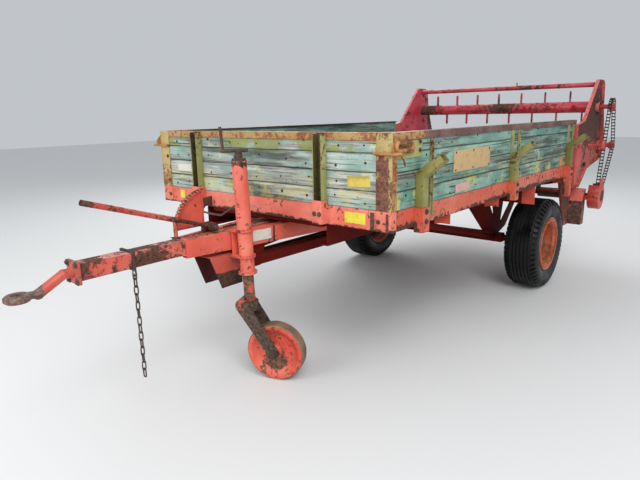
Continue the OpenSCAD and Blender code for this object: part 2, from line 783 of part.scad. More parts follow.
module stakes() {
    color(straw) place() mirrored() for (s = STAKES) translate([-s[0] + stake_w / 2, 0, 0]) rotate([90, 0, -90])
        linear_extrude(stake_w) polygon([[half_w, sill_z + 3], [half_w + stake_d, sill_z + 3],
            [half_w + stake_d, stake_z], [half_w + stake_d + flare_run, stake_z + flare_rise],
            [half_w + stake_d + flare_run - 30, stake_z + flare_rise + 38], [half_w, stake_z + 30]]);
}

latch_z = rail_top - 80;
module corner_latches() {
    color(rust) place() mirrored() {
        rod([corner_t + 9, half_w - corner_w - 8, latch_z - 24], [corner_t + 9, half_w + 70, latch_z - 24], 9);
        block([-285, half_w, latch_z - 55], [-corner_d - 1, half_w + 5, latch_z + 35]);
        plate_xz(half_w + corner_t + 3, 10) difference() {
            union() {
                translate([0, latch_z]) circle(30);
                translate([-170, latch_z - 28]) square([170, 36]);
                translate([-170, latch_z - 10]) circle(18);
            }
            translate([-25, latch_z + 2]) circle(12);
        }
        block([-175, half_w + 5, latch_z - 20], [-140, half_w + 12, latch_z + 2]);
    }
}

// Rear side frames carry the beaters
rear_t = 6;
flange = 35;
// Distance behind the walls' rear end, height
REAR = [[-35, sill_z - 122], [156, sill_z - 137], [390, 985], [910, 1055], [930, 1330], [822, 1610], [785, 1815],
    [730, 1850], [570, 1850], [185, 1455], [5, rail_z - 3], [-35, rail_z - 3]];
rear_outline = [for (p = REAR) [-box_len - p[0], p[1]]];
// The bent column pressed into the plate, in the same terms
COLUMN = [[-18, sill_z - 107], [150, sill_z - 107], [222, 1130], [359, 1250], [179, 1265], [65, 1130]];
bearing_r = 52;
// Corners of a clockwise outline, moved in by d
function turned(p, q) = let (v = (q - p) / norm(q - p)) [v[1], -v[0]];
function inset(points, d) = let (n = len(points)) [for (i = [0:n - 1])
    let (m = turned(points[(i + n - 1) % n], points[i]) + turned(points[i], points[(i + 1) % n]))
        points[i] + 2 * d * m / (m * m)];
module rear_frame() {
    difference() {
        union() {
            plate_xz(half_w, rear_t) polygon(rear_outline);
            plate_xz(half_w, flange) difference() {
                polygon(rear_outline);
                polygon(inset(rear_outline, 8));
            }
            plate_xz(half_w, rear_t + 24) polygon([for (p = COLUMN) [-box_len - p[0], p[1]]]);
            for (p = [[-upper_back, upper_z], [-lower_back, lower_z]])
                axle_y(p[0], p[1], bearing_r, half_w - 12, half_w + 40);
        }
        for (p = [[-upper_back, upper_z], [-lower_back, lower_z]])
            axle_y(p[0], p[1], shaft_r + run, half_w - 20, half_w + 60);
        axle_y(loop_x1, loop_z, 20 + seat, half_w - 20, half_w + 60);
    }
}
// A slide block presses on the front strand of the chain
shoe_half = 45;
module chain_shoe() {
    a = normal_ang(0);
    p = centre(0) + (rad(0) + plate_w / 2 + 0.2) * [cos(a), sin(a)] + run_of(0) * 0.45 * [sin(a), -cos(a)];
    axle_y(p[0] + 18, p[1], 14, half_w + rear_t, chain_y);
    translate([p[0], chain_y + 15, p[1]]) rotate([90, 0, 0]) rotate(a) linear_extrude(30)
        translate([0, -shoe_half]) square([34, 2 * shoe_half]);
}
module rear_frame_left() {
    color(red) place() {
        rear_frame();
        chain_shoe();
    }
}
module rear_frame_right() { color(red) place() mirror([0, 1, 0]) rear_frame(); }

guard_aft = REAR[8][0] + 80;
guard_z = REAR[8][1] - 45;
guard_bar = 24;
peg_y = 180;
peg_h = 57;
module top_guard() {
    color(red) place() {
        axle_y(-box_len - guard_aft, guard_z, guard_bar, -half_w, half_w);
        translate([-box_len - guard_aft, peg_y, guard_z + 15]) cylinder(r = 7, h = peg_h - 15);
    }
}

// Beaters: a tube with flat tines in a slow spiral, stub shafts and a chain sprocket
sprocket_t = 12;
chain_clear = 5.5;
function pitch_r(n) = pitch / (2 * sin(180 / n));
module sprocket(n) {
    tip = pitch_r(n) - roller_r - chain_clear;
    linear_extrude(sprocket_t, center = true) difference() {
        circle(tip);
        for (i = [0:n - 1]) rotate((i + 0.5) * 360 / n) translate([tip + 3, 0]) circle(9, $fn = 8);
    }
    cylinder(r = 34, h = 50, center = true);
}
tine_span = 2 * (half_w - 110);
tine_shift = -20;
module beater(x, z, teeth) {
    place() translate([x, 0, z]) {
        axle_y(0, 0, drum_r, -half_w + 22, half_w - 22);
        axle_y(0, 0, shaft_r, -half_w - 50, shaft_end);
        for (i = [0:tine_count - 1]) translate([0, tine_shift - tine_span / 2 + i * tine_span / (tine_count - 1), 0])
            rotate([0, 90 * (i + 1), 0]) rotate([90, 0, 0]) linear_extrude(tine_t, center = true)
                polygon([[-10, -tine_w / 2], [tip_r - 14, -tine_w / 2], [tip_r, -tine_w / 6],
                    [tip_r, tine_w / 6], [tip_r - 14, tine_w / 2], [-10, tine_w / 2]]);
        translate([0, chain_y, 0]) rotate([90, 0, 0]) sprocket(teeth);
    }
}
module beater_upper() { color(red) beater(-upper_back, upper_z, upper_teeth); }
module beater_lower() { color(red) beater(-lower_back, lower_z, lower_teeth); }

module drive_shaft() {
    color(steel) place() translate([-drive_back, 0, drive_z]) {
        axle_y(0, 0, shaft_r, -75, shaft_end);
        translate([0, chain_y, 0]) rotate([90, 0, 0]) sprocket(drive_teeth);
    }
}

// The chain runs round the three sprockets, in order: upper, lower and cross shaft
ROUND = [[-upper_back, upper_z, upper_teeth], [-drive_back, drive_z, drive_teeth],
    [-lower_back, lower_z, lower_teeth]];
function centre(i) = [ROUND[i % 3][0], ROUND[i % 3][1]];
function rad(i) = pitch_r(ROUND[i % 3][2]);
// Direction of the outward normal of the run from wheel i to wheel i + 1, the chain going clockwise in X and Z
function normal_ang(i) = let (v = centre(i + 1) - centre(i), d = norm(v))
    atan2(v[1], v[0]) + 90 - asin((rad(i + 1) - rad(i)) / d) * -1;
function arc_of(i) = let (a = normal_ang((i + 2) % 3) - normal_ang(i), b = a - 360 * floor(a / 360)) b;
function run_of(i) = sqrt(pow(norm(centre(i + 1) - centre(i)), 2) - pow(rad(i + 1) - rad(i), 2));
function seg_len(k) = k % 2 == 0 ? arc_of(k / 2) * PI / 180 * rad(k / 2) : run_of((k - 1) / 2);
function upto(k) = k == 0 ? 0 : upto(k - 1) + seg_len(k - 1);
chain_len = upto(6);
links = 2 * floor(chain_len / pitch / 2);
step = chain_len / links;
// Point of the chain's centre line at a distance along it
function on_seg(s, k) = k % 2 == 0
    ? let (i = k / 2, a = normal_ang((i + 2) % 3) - (s - upto(k)) / rad(i) * 180 / PI)
        centre(i) + rad(i) * [cos(a), sin(a)]
    : let (i = (k - 1) / 2, a = normal_ang(i), p = centre(i) + rad(i) * [cos(a), sin(a)])
        p + (s - upto(k)) * [sin(a), -cos(a)];
function seg_of(s, k = 0) = s <= upto(k + 1) || k == 5 ? k : seg_of(s, k + 1);
function chain_point(s) = on_seg(s, seg_of(s));
plate_w = 20;
module drive_chain() {
    color(steel) place() for (i = [0:links - 1]) {
        p = chain_point(i * step);
        q = chain_point((i + 1) % links * step);
        v = q - p;
        translate([p[0], 0, p[1]]) rotate([0, -atan2(v[1], v[0]), 0]) {
            for (s = [-1, 1]) translate([norm(v) / 2, chain_y + s * (i % 2 == 0 ? 13.5 : 16.2), 0])
                cube([norm(v) + 14, 3, plate_w], center = true);
            translate([0, chain_y - 12.5, 0]) rotate([-90, 0, 0]) cylinder(r = roller_r, h = 25, $fn = 6);
        }
    }
}

guard_r = 125;
guard_x = 35;
guard_d = 100;
guard_t = 4;
module guard_outline(inset) {
    translate([guard_x, 0]) circle(guard_r - inset);
    polygon([[-65 + inset, 40], [guard_x + 105 - inset, 40], [guard_x + 70 - inset, 190 - inset],
        [inset, 190 - inset]]);
}
module chain_guard() {
    color(red) place() {
        translate([-drive_back, guard_out, drive_z]) rotate([90, 0, 0]) {
            linear_extrude(guard_t) guard_outline(0);
            linear_extrude(guard_d) difference() {
                guard_outline(0);
                guard_outline(guard_t);
                translate([-300, 120]) square([600, 200]);
                translate([-300, -60]) square([240, 600]);
            }
        }
        block([-drive_back + guard_x + guard_r - 20, feed_out, drive_z - 25],
            [-drive_back + guard_x + guard_r - 1, guard_out - guard_d + 5, drive_z + 15]);
    }
}

// Drive box of the floor's feed, on the cross shaft's housing
feed_in = half_w - 85;
feed_out = half_w + 55;
feed_low = 430;
module feed_box() {
    color(dark_red) place() difference() {
        union() {
            plate_xz(feed_in + 20, feed_out - feed_in - 20) polygon([[-box_len - 250, feed_low],
                [-box_len - 350, feed_low], [-box_len - 350, 785], [-box_len - 320, 785], [-box_len - 250, 670]]);
            plate_xz(feed_in, 20) polygon([[-box_len + 150, sill_z], [-box_len - 290, sill_z],
                [-box_len - 290, drive_z + 90], [-drive_back - 60, drive_z + 60], [-drive_back - 60, drive_z - 60],
                [-box_len - 290, feed_low], [-box_len - 110, feed_low]]);
            axle_y(-drive_back, drive_z, 50, frame_w / 2 + 20, feed_in + 40);
            block([-drive_back - 40, frame_w / 2, drive_z - 20], [-drive_back + 40, frame_w / 2 + 25, frame_z + 60]);
        }
        axle_y(-drive_back, drive_z, shaft_r + run, frame_w / 2 - 50, half_w + 195);
    }
}

// Wheels
module tyre() {
    rotate_extrude() polygon([[rim_r - 22, -tyre_w / 2 + 45], [rim_r + 6, -tyre_w / 2 + 20], [rim_r + 60, -tyre_w / 2],
        [tyre_r - 60, -tyre_w / 2], [tyre_r - 20, -tyre_w / 2 + 14], [tyre_r, -tyre_w / 2 + 38],
        [tyre_r, tyre_w / 2 - 38], [tyre_r - 20, tyre_w / 2 - 14], [tyre_r - 60, tyre_w / 2],
        [rim_r + 60, tyre_w / 2], [rim_r + 6, tyre_w / 2 - 20], [rim_r - 22, tyre_w / 2 - 45]]);
}
module rim() {
    rotate_extrude() polygon([[spindle_r + run, -95], [62, -95], [62, -10], [150, -10], [190, -60], [rim_r - 24, -100],
        [rim_r - 24, -tyre_w / 2 + 40], [rim_r, -tyre_w / 2 + 14], [rim_r, -tyre_w / 2 + 18.5], [rim_r - 23, -tyre_w / 2 + 45],
        [rim_r - 23, tyre_w / 2 - 45], [rim_r, tyre_w / 2 - 18.5], [rim_r, tyre_w / 2 - 14],
        [rim_r - 30, tyre_w / 2 - 40], [rim_r - 30, -92], [196, -52], [154, -2], [62, -2], [62, 40], [spindle_r + run, 40]]);
}
module wheel_at(side) {
    place() translate([-axle_back, side * track / 2, axle_z]) rotate([side * -90, 0, 0]) children();
}
module tyre_left() { color(black) wheel_at(1) tyre(); }
module tyre_right() { color(black) wheel_at(-1) tyre(); }
module rim_left() { color(rust) wheel_at(1) rim(); }
module rim_right() { color(rust) wheel_at(-1) rim(); }

// Distance before the walls' rear end, width, height and thickness of a reflector
lens = [355, 70, 65, 8];
module reflectors() {
    color("orange") place() mirrored() block([-box_len + lens[0], half_w, wall_z + 13],
        [-box_len + lens[0] + lens[1], half_w + lens[3], wall_z + 13 + lens[2]]);
}

tow_eye();
drawbar_beam();
drawbar_arms();
drawbar_braces();
jack_bracket();
jack_sleeve();
jack_leg();
jack_crank();
caster_fork();
caster_wheel();
pto_hood();
pto_shaft();
rear_gearbox();
quadrant();
hand_lever();
brake_rod();
safety_chain();
chassis_rails();
cross_members();
axle_stands();
axle_beam();
front_sill();
side_sills();
floor_boards();
scraper_chain();
scraper_shafts();
front_planks();
front_posts();
top_rails();
side_planks_left();
side_planks_right();
side_straps();
stakes();
corner_latches();
rear_frame_left();
rear_frame_right();
top_guard();
beater_upper();
beater_lower();
drive_shaft();
drive_chain();
chain_guard();
feed_box();
tyre_left();
tyre_right();
rim_left();
rim_right();
reflectors();
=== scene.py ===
import json
import math
import random

import bpy
from mathutils import Matrix, Vector


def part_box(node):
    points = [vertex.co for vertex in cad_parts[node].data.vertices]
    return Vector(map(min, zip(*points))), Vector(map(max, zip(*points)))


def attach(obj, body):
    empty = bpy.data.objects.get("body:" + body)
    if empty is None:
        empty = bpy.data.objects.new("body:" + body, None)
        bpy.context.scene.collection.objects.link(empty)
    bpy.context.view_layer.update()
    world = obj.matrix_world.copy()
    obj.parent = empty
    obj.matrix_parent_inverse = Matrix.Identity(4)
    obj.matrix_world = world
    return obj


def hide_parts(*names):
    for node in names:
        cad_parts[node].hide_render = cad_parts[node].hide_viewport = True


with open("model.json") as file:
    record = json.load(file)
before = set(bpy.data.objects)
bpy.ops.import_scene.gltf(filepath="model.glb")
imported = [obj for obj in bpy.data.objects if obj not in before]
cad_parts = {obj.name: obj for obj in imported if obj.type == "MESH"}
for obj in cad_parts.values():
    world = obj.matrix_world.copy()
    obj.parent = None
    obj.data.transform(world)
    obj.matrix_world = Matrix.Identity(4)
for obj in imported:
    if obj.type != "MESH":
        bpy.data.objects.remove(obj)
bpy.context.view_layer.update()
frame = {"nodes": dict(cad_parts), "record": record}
random.seed(7)
print("frame loaded")

# The source counts X from the front of the box and Y from its middle;
# this shift brings its metres to the frame's
originX = (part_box("front_planks")[0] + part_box("front_planks")[1]).x / 2 + 0.016
originY = (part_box("front_planks")[0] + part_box("front_planks")[1]).y / 2
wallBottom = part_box("side_planks_left")[0].z
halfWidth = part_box("side_planks_left")[1].y - originY


def at(x, y, z):
    return Vector((x + originX, y + originY, z))


def linear(code):
    values = [int(code[i:i + 2], 16) / 255 for i in (1, 3, 5)]
    return tuple(v / 12.92 if v <= 0.04045 else ((v + 0.055) / 1.055) ** 2.4 for v in values) + (1.0,)


# Camera, lamps and floor
cameraLook = {"place": (2.272, 2.463, 1.568), "yaw": -139.42, "pitch": 13.39, "roll": -1.12, "lens": 29.785}


def makeCamera(look):
    yaw, pitch, roll = (math.radians(look[k]) for k in ("yaw", "pitch", "roll"))
    ahead = Vector((math.cos(yaw) * math.cos(pitch), math.sin(yaw) * math.cos(pitch), -math.sin(pitch)))
    level = ahead.cross(Vector((0, 0, 1))).normalized()
    upright = level.cross(ahead)
    right = math.cos(roll) * level + math.sin(roll) * upright
    up = math.cos(roll) * upright - math.sin(roll) * level
    data = bpy.data.cameras.new("camera")
    data.lens = look["lens"]
    data.sensor_width = 36
    data.clip_start, data.clip_end = 0.05, 100
    camera = bpy.data.objects.new("camera", data)
    bpy.context.scene.collection.objects.link(camera)
    turn = Matrix((right, up, -ahead)).transposed().to_4x4()
    camera.matrix_world = Matrix.Translation(at(*look["place"])) @ turn
    bpy.context.scene.camera = camera


makeCamera(cameraLook)

lampTable = [
    {"name": "keyLamp", "place": (3.5, 5.5, 6.5), "size": 5.0, "power": 420},
    {"name": "frontLamp", "place": (6.5, -1.5, 4.0), "size": 4.0, "power": 190},
    {"name": "rearLamp", "place": (-6.0, -4.0, 5.5), "size": 5.0, "power": 230},
]
studioLook = {"target": (-1.3, 0, 0.8), "sky": (0.86, 0.9, 0.95, 1), "skyStrength": 0.62,
              "floor": (0.78, 0.78, 0.77, 1), "floorRough": 0.9, "floorSize": 60, "floorHeight": -0.001}
for lamp in lampTable:
    bpy.ops.object.light_add(type="AREA", location=at(*lamp["place"]))
    light = bpy.context.object
    light.name = lamp["name"]
    light.data.size = lamp["size"]
    light.data.energy = lamp["power"]
    light.rotation_euler = (at(*studioLook["target"]) - light.location).to_track_quat("-Z", "Y").to_euler()

world = bpy.data.worlds.new("studio")
bpy.context.scene.world = world
world.use_nodes = True
world.node_tree.nodes["Background"].inputs["Color"].default_value = studioLook["sky"]
world.node_tree.nodes["Background"].inputs["Strength"].default_value = studioLook["skyStrength"]
bpy.context.scene.view_settings.view_transform = "Standard"


# Node helpers
def wire(tree, kind, sockets=None, **settings):
    made = tree.nodes.new(kind)
    for key, value in settings.items():
        setattr(made, key, value)
    for key, value in (sockets or {}).items():
        if isinstance(value, bpy.types.NodeSocket):
            tree.links.new(value, made.inputs[key])
        else:
            made.inputs[key].default_value = value
    return made


def mixColour(tree, share, first, second):
    return wire(tree, "ShaderNodeMix", {0: share, 6: first, 7: second}, data_type="RGBA").outputs[2]


def maths(tree, what, first, second=0.0):
    return wire(tree, "ShaderNodeMath", {0: first, 1: second}, operation=what).outputs[0]


def plus(tree, first, second):
    return maths(tree, "ADD", first, second)


def minus(tree, first, second):
    return maths(tree, "SUBTRACT", first, second)


def times(tree, first, second):
    return maths(tree, "MULTIPLY", first, second)


def ramp(tree, value, low, high, outLow=0.0, outHigh=1.0):
    made = wire(tree, "ShaderNodeMapRange", {"Value": value, "From Min": low, "From Max": high,
                "To Min": outLow, "To Max": outHigh}, interpolation_type="SMOOTHSTEP")
    return made.outputs["Result"]


def cloud(tree, vector, scale, detail=6.0, rough=0.6, distort=0.0):
    made = wire(tree, "ShaderNodeTexNoise", {"Vector": vector, "Scale": scale, "Detail": detail,
                "Roughness": rough, "Distortion": distort})
    return made.outputs["Fac"]


def newGroup(name, inputs, outputs):
    tree = bpy.data.node_groups.new(name, "ShaderNodeTree")
    for label, kind, value in inputs:
        socket = tree.interface.new_socket(name=label, in_out="INPUT", socket_type=kind)
        if value is not None:
            socket.default_value = value
    for label, kind in outputs:
        tree.interface.new_socket(name=label, in_out="OUTPUT", socket_type=kind)
    return tree, tree.nodes.new("NodeGroupInput"), tree.nodes.new("NodeGroupOutput")


def makeEdgeWear():
    tree, inn, out = newGroup("edgeWear", [("Radius", "NodeSocketFloat", 0.006)],
                              [("Edge", "NodeSocketFloat"), ("Rounded", "NodeSocketVector")])
    bevel = wire(tree, "ShaderNodeBevel", {"Radius": inn.outputs["Radius"]}, samples=4)
    shape = tree.nodes.new("ShaderNodeNewGeometry")
    dot = wire(tree, "ShaderNodeVectorMath", {0: bevel.outputs[0], 1: shape.outputs["Normal"]},
               operation="DOT_PRODUCT")
    tree.links.new(ramp(tree, dot.outputs["Value"], 0.995, 0.84), out.inputs["Edge"])
    tree.links.new(bevel.outputs[0], out.inputs["Rounded"])
    return tree


def makeRustSpread():
    number = "NodeSocketFloat"
    tree, inn, out = newGroup("rustSpread", [("Vector", "NodeSocketVector", None), ("Amount", number, 0.3),
                                             ("Chips", number, 0.3), ("Edge", number, 0.0)],
                              [("Rust", number), ("Chip", number), ("Fade", number), ("Pitting", number)])
    vector = inn.outputs["Vector"]
    patches = cloud(tree, vector, 2.6, 8, 0.68, 0.4)
    breaks = cloud(tree, vector, 24.0, 7, 0.72)
    mixed = plus(tree, times(tree, patches, 0.62), times(tree, breaks, 0.38))
    lifted = plus(tree, mixed, times(tree, inn.outputs["Edge"], 0.12))
    level = minus(tree, 0.72, times(tree, inn.outputs["Amount"], 0.3))
    gap = minus(tree, lifted, level)
    tree.links.new(ramp(tree, gap, -0.012, 0.03), out.inputs["Rust"])
    spots = cloud(tree, vector, 34.0, 6, 0.62, 0.8)
    spread = cloud(tree, vector, 4.2, 4, 0.6, 0.5)
    spotLevel = minus(tree, 0.872, times(tree, inn.outputs["Chips"], 0.24))
    dots = plus(tree, times(tree, spots, 0.8), times(tree, spread, 0.5))
    tree.links.new(ramp(tree, minus(tree, dots, spotLevel), 0.0, 0.03), out.inputs["Chip"])
    tree.links.new(ramp(tree, cloud(tree, vector, 1.7, 5, 0.6), 0.38, 0.68), out.inputs["Fade"])
    tree.links.new(cloud(tree, vector, 140.0, 4, 0.7), out.inputs["Pitting"])
    return tree


# Pale top faces: dust, and where a look sets a high share, a painted sheen that stands in for light on the top
def makeTopDustAndSheen():
    tree, inn, out = newGroup("topDustAndSheen", [("Vector", "NodeSocketVector", None)], [("DustAndSheen", "NodeSocketFloat")])
    shape = tree.nodes.new("ShaderNodeNewGeometry")
    parts = wire(tree, "ShaderNodeSeparateXYZ", {0: shape.outputs["Normal"]})
    facing = ramp(tree, parts.outputs["Z"], 0.35, 0.95)
    patchy = ramp(tree, cloud(tree, inn.outputs["Vector"], 7.0, 6, 0.65), 0.36, 0.66)
    tree.links.new(times(tree, facing, patchy), out.inputs["DustAndSheen"])
    return tree


edgeWear = makeEdgeWear()
rustSpread = makeRustSpread()
topDustAndSheen = makeTopDustAndSheen()


def useGroup(tree, group, sockets):
    return wire(tree, "ShaderNodeGroup", sockets, node_tree=group)


def newMaterial(name):
    made = bpy.data.materials.new(name)
    made.use_nodes = True
    tree = made.node_tree
    return made, tree, tree.nodes["Principled BSDF"]


def objectSpot(tree):
    return tree.nodes.new("ShaderNodeTexCoord").outputs["Object"]


def mapped(tree, vector, shift=(0, 0, 0), scale=(1, 1, 1)):
    made = wire(tree, "ShaderNodeMapping", {"Vector": vector, "Location": shift, "Scale": scale})
    return made.outputs["Vector"]


def colourInto(tree, shader, colour, rough):
    tree.links.new(colour, shader.inputs["Base Color"])
    tree.links.new(rough, shader.inputs["Roughness"])


def bumpInto(tree, shader, height, strength, distance, normal=None):
    sockets = {"Height": height, "Strength": strength, "Distance": distance}
    if normal:
        sockets["Normal"] = normal
    tree.links.new(wire(tree, "ShaderNodeBump", sockets).outputs["Normal"], shader.inputs["Normal"])


def fromMiddle(tree, split):
    return maths(tree, "ABSOLUTE", minus(tree, split["Y"], originY))


# Worn paint on steel: the coat fades, chips and rusts, more along edges, and top faces turn pale with dust and,
# where a look sets it high, with painted sheen
def paintedSteel(name, look):
    made, tree, shader = newMaterial(name)
    spot = objectSpot(tree)
    place = mapped(tree, spot, look.get("shift", (0, 0, 0)))
    edge = useGroup(tree, edgeWear, {"Radius": look.get("edgeRadius", 0.006)})
    amount = look["rust"]
    split = wire(tree, "ShaderNodeSeparateXYZ", {0: spot}).outputs
    for axis, clean, rusty, extra in look.get("rustBands", []):  # more or less rust towards one side
        amount = plus(tree, amount, ramp(tree, split[axis], clean, rusty, 0.0, extra))
    for centre, reach, extra in look.get("rustSpots", []):  # a rusty round patch
        away = wire(tree, "ShaderNodeVectorMath", {0: spot, 1: centre}, operation="DISTANCE").outputs["Value"]
        amount = plus(tree, amount, ramp(tree, away, reach, reach * 0.6, 0.0, extra))
    if "keptEdges" in look:                                 # paint left on the long edges of the posts
        middle, inner, outer, less = look["keptEdges"]
        side = maths(tree, "ABSOLUTE", minus(tree, fromMiddle(tree, split), middle))
        amount = minus(tree, amount, ramp(tree, side, inner, outer, 0.0, less))
    wear = useGroup(tree, rustSpread, {"Vector": place, "Amount": amount, "Chips": look["chips"],
                    "Edge": edge.outputs["Edge"]})
    dust = useGroup(tree, topDustAndSheen, {"Vector": place})
    fresh, faded, deep = (linear(code) for code in look["coats"])
    coat = mixColour(tree, wear.outputs["Fade"], fresh, faded)
    # Painted light: a lit coat on the parts beyond a distance from the middle and above a height, beside a look
    # darkened as painted shade
    if "ends" in look:                                      # another coat beyond a distance from the middle
        reach, lowest, code = look["ends"]
        litEndsMask = times(tree, ramp(tree, fromMiddle(tree, split), reach, reach + 0.004),
                        ramp(tree, split["Z"], lowest, lowest + 0.01))
        coat = mixColour(tree, litEndsMask, coat, linear(code))
    tone = ramp(tree, cloud(tree, place, 9.0, 6, 0.6), 0.3, 0.75)
    coat = mixColour(tree, times(tree, tone, 0.35), coat, deep)
    # pale top colour: dust, and with a high share such as the drawbar's, painted sheen
    dustAndSheen = times(tree, dust.outputs["DustAndSheen"], look.get("dust", 0.35))
    coat = mixColour(tree, dustAndSheen, coat, linear(look.get("dustAndSheenColour", "#c9a28e")))
    dark, light = (linear(code) for code in look.get("tones", rustTones))
    iron = mixColour(tree, ramp(tree, cloud(tree, place, 60.0, 5, 0.7), 0.35, 0.65), dark, light)
    bare = maths(tree, "MAXIMUM", wear.outputs["Rust"], times(tree, wear.outputs["Chip"], 0.9))
    shader.inputs["Specular IOR Level"].default_value = look.get("shine", 0.5)
    colourInto(tree, shader, mixColour(tree, bare, coat, iron),
               ramp(tree, bare, 0.0, 1.0, look.get("gloss", 0.42), 0.85))
    pits = times(tree, times(tree, bare, wear.outputs["Pitting"]), 0.9)
    bumpInto(tree, shader, plus(tree, times(tree, bare, -0.5), pits), 0.55, 0.0012, edge.outputs["Rounded"])
    return made


# Each look: the fresh, faded and deep coat, how much rust and how many chips, and where there is more of them
rustTones = ("#2a1a16", "#6b4030")
hubX = (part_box("tyre_left")[0].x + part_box("tyre_left")[1].x) / 2
hubHeight = (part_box("tyre_left")[0].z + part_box("tyre_left")[1].z) / 2
casterHub = (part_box("caster_wheel")[0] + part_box("caster_wheel")[1]) / 2
redPaint = paintedSteel("wornRedPaint", {
    "coats": ("#dd5e4b", "#ea8471", "#b63c2d"), "rust": 0.36, "chips": 0.5})
sleevePaint = paintedSteel("sleevePaint", {
    "coats": ("#dc5f4b", "#ea8571", "#b8402f"), "rust": 0.32, "chips": 0.55,
    "rustBands": [("Z", 1.235, 1.31, 0.62)], "shift": (0.2, 3.3, 1.1)})
sillPaint = paintedSteel("sillPaint", {
    "coats": ("#e06854", "#ef917d", "#bf4837"), "rust": 0.36, "chips": 0.55,
    "rustBands": [("Z", wallBottom - 0.075, wallBottom - 0.112, 0.55)], "shift": (0.4, 0.9, 2.7)})
sideSillPaint = paintedSteel("sideSillPaint", {
    "coats": ("#d25740", "#de785c", "#aa3f2c"), "rust": 0.47, "chips": 0.64,
    "rustBands": [("Z", wallBottom - 0.06, wallBottom - 0.112, 0.5)],
    "keptEdges": (1.0, 0.022, 0.034, 0.55), "shift": (1.4, 0.3, 0.7)})
# The drawbar's high pink-grey top colour is painted sheen over some dust
drawbarPaint = paintedSteel("drawbarPaint", {
    "coats": ("#d04c38", "#dd7460", "#a93427"), "rust": 0.72, "chips": 0.8,
    "rustBands": [("X", originX + 0.93, originX + 0.88, 0.16), ("X", originX + 0.78, originX + 0.68, -0.3)],
    "dust": 0.75, "dustAndSheenColour": "#cf9c92", "shift": (3.1, 1.2, 0.4)})
leverPaint = paintedSteel("leverPaint", {
    "coats": ("#c04634", "#cd614c", "#93301f"), "rust": 0.76, "chips": 0.75,
    "rustBands": [("X", originX + 0.62, originX + 0.52, 0.5), ("X", originX + 1.04, originX + 1.1, 0.5)],
    "shift": (2.1, 0.2, 3.4)})
armPaint = paintedSteel("armPaint", {
    "coats": ("#d85643", "#e5745f", "#ad382b"), "rust": 0.4, "chips": 0.5, "dust": 0.5,
    "shift": (0.6, 2.2, 1.4)})
crimsonPaint = paintedSteel("crimsonPaint", {
    "coats": ("#c42b3a", "#d55261", "#861a25"), "rust": 0.66, "chips": 0.6, "tones": ("#2c201e", "#5f3a2e"),
    "shift": (0.3, 4.2, 1.0)})
beaterPaint = paintedSteel("beaterPaint", {
    "coats": ("#c42b3a", "#d24a58", "#861a25"), "rust": 0.64, "chips": 0.66,
    "tones": ("#33221f", "#6a4032"), "rustBands": [("Y", originY - 0.45, originY - 0.9, 0.3)],
    "shift": (1.3, 0.2, 2.0)})
guardPaint = paintedSteel("chainGuardPaint", {
    "coats": ("#c4392f", "#d35a4c", "#8a2118"), "rust": 0.45, "chips": 0.6,
    "rustSpots": [(tuple(at(-3.59, 1.17, 0.708)), 0.075, 0.7)], "shift": (4.3, 2.2, 0.6)})
rearPaint = paintedSteel("rearPlatePaint", {
    "coats": ("#bd4634", "#c9634e", "#83261d"), "rust": 0.56, "chips": 0.7, "tones": ("#2b1c18", "#6b4234"),
    "rustBands": [("Z", 1.0, 1.42, 0.38)], "shift": (6.3, 1.2, 1.0)})
rearFlange = paintedSteel("rearFlangePaint", {
    "coats": ("#cf4240", "#db6560", "#96282a"), "rust": 0.5, "chips": 0.6, "shift": (1.3, 5.2, 1.0)})
# Painted shade: the undercarriage coat is darkened to the shade under the box; its outer ends get a lit red coat
# as painted light
shadePaint = paintedSteel("undercarriagePaintedShade", {
    "coats": ("#5e0f08", "#701a10", "#330705"), "rust": 0.3, "chips": 0.3, "tones": ("#1d100d", "#4a2a1d"),
    "ends": (0.9, 0.75, "#d9604c"), "shine": 0.12, "gloss": 0.68, "dust": 0.08, "shift": (1.3, 0.2, 7.0)})
innerPlate = paintedSteel("innerPlatePaint", {
    "coats": ("#a3221a", "#b5352a", "#6c130e"), "rust": 0.4, "chips": 0.4, "dust": 0.1,
    "shift": (2.3, 0.7, 3.0)})
hoodPaint = paintedSteel("hoodPaint", {
    "coats": ("#bd4534", "#cf6656", "#842519"), "rust": 0.36, "chips": 0.3, "tones": ("#2c1b15", "#5e3c2c"),
    "rustBands": [("Z", 0.685, 0.655, 0.7)], "shift": (1.9, 3.2, 5.0)})
# Painted shade: the hood's inner and lower faces are coloured near black, as dark as the shade under the hood
hoodPaintedShade = paintedSteel("hoodPaintedShade", {
    "coats": ("#4a0f0b", "#5c1812", "#240806"), "rust": 0.6, "chips": 0.3, "tones": ("#140c0a", "#35201a"),
    "shine": 0.25, "dust": 0.05})
eyePaint = paintedSteel("towEyePaint", {
    "coats": ("#cd4c39", "#d76e5a", "#8e2f23"), "rust": 0.62, "chips": 0.7, "tones": ("#4a3832", "#8a7064"),
    "rustBands": [("X", originX + 1.33, originX + 1.37, 0.6)], "dust": 0.3, "shift": (2.6, 1.4, 0.2)})
arcPaint = paintedSteel("arcPaint", {
    "coats": ("#cf6a45", "#d98a5c", "#a04a30"), "rust": 0.6, "chips": 0.75, "shift": (5.1, 0.4, 2.2)})
browned = paintedSteel("brownedPaint", {
    "coats": ("#a23b2d", "#86493a", "#4a2a22"), "rust": 0.92, "chips": 0.5, "tones": ("#33241d", "#6a4e3e"),
    "shift": (5.3, 0.7, 2.0)})
legPaint = paintedSteel("legPaint", {
    "coats": ("#c9503c", "#d5705c", "#96382a"), "rust": 0.78, "chips": 0.6, "tones": ("#4a3426", "#806048"),
    "rustBands": [("Z", 0.6, 0.63, 0.3)], "shift": (0.7, 0.1, 4.4)})
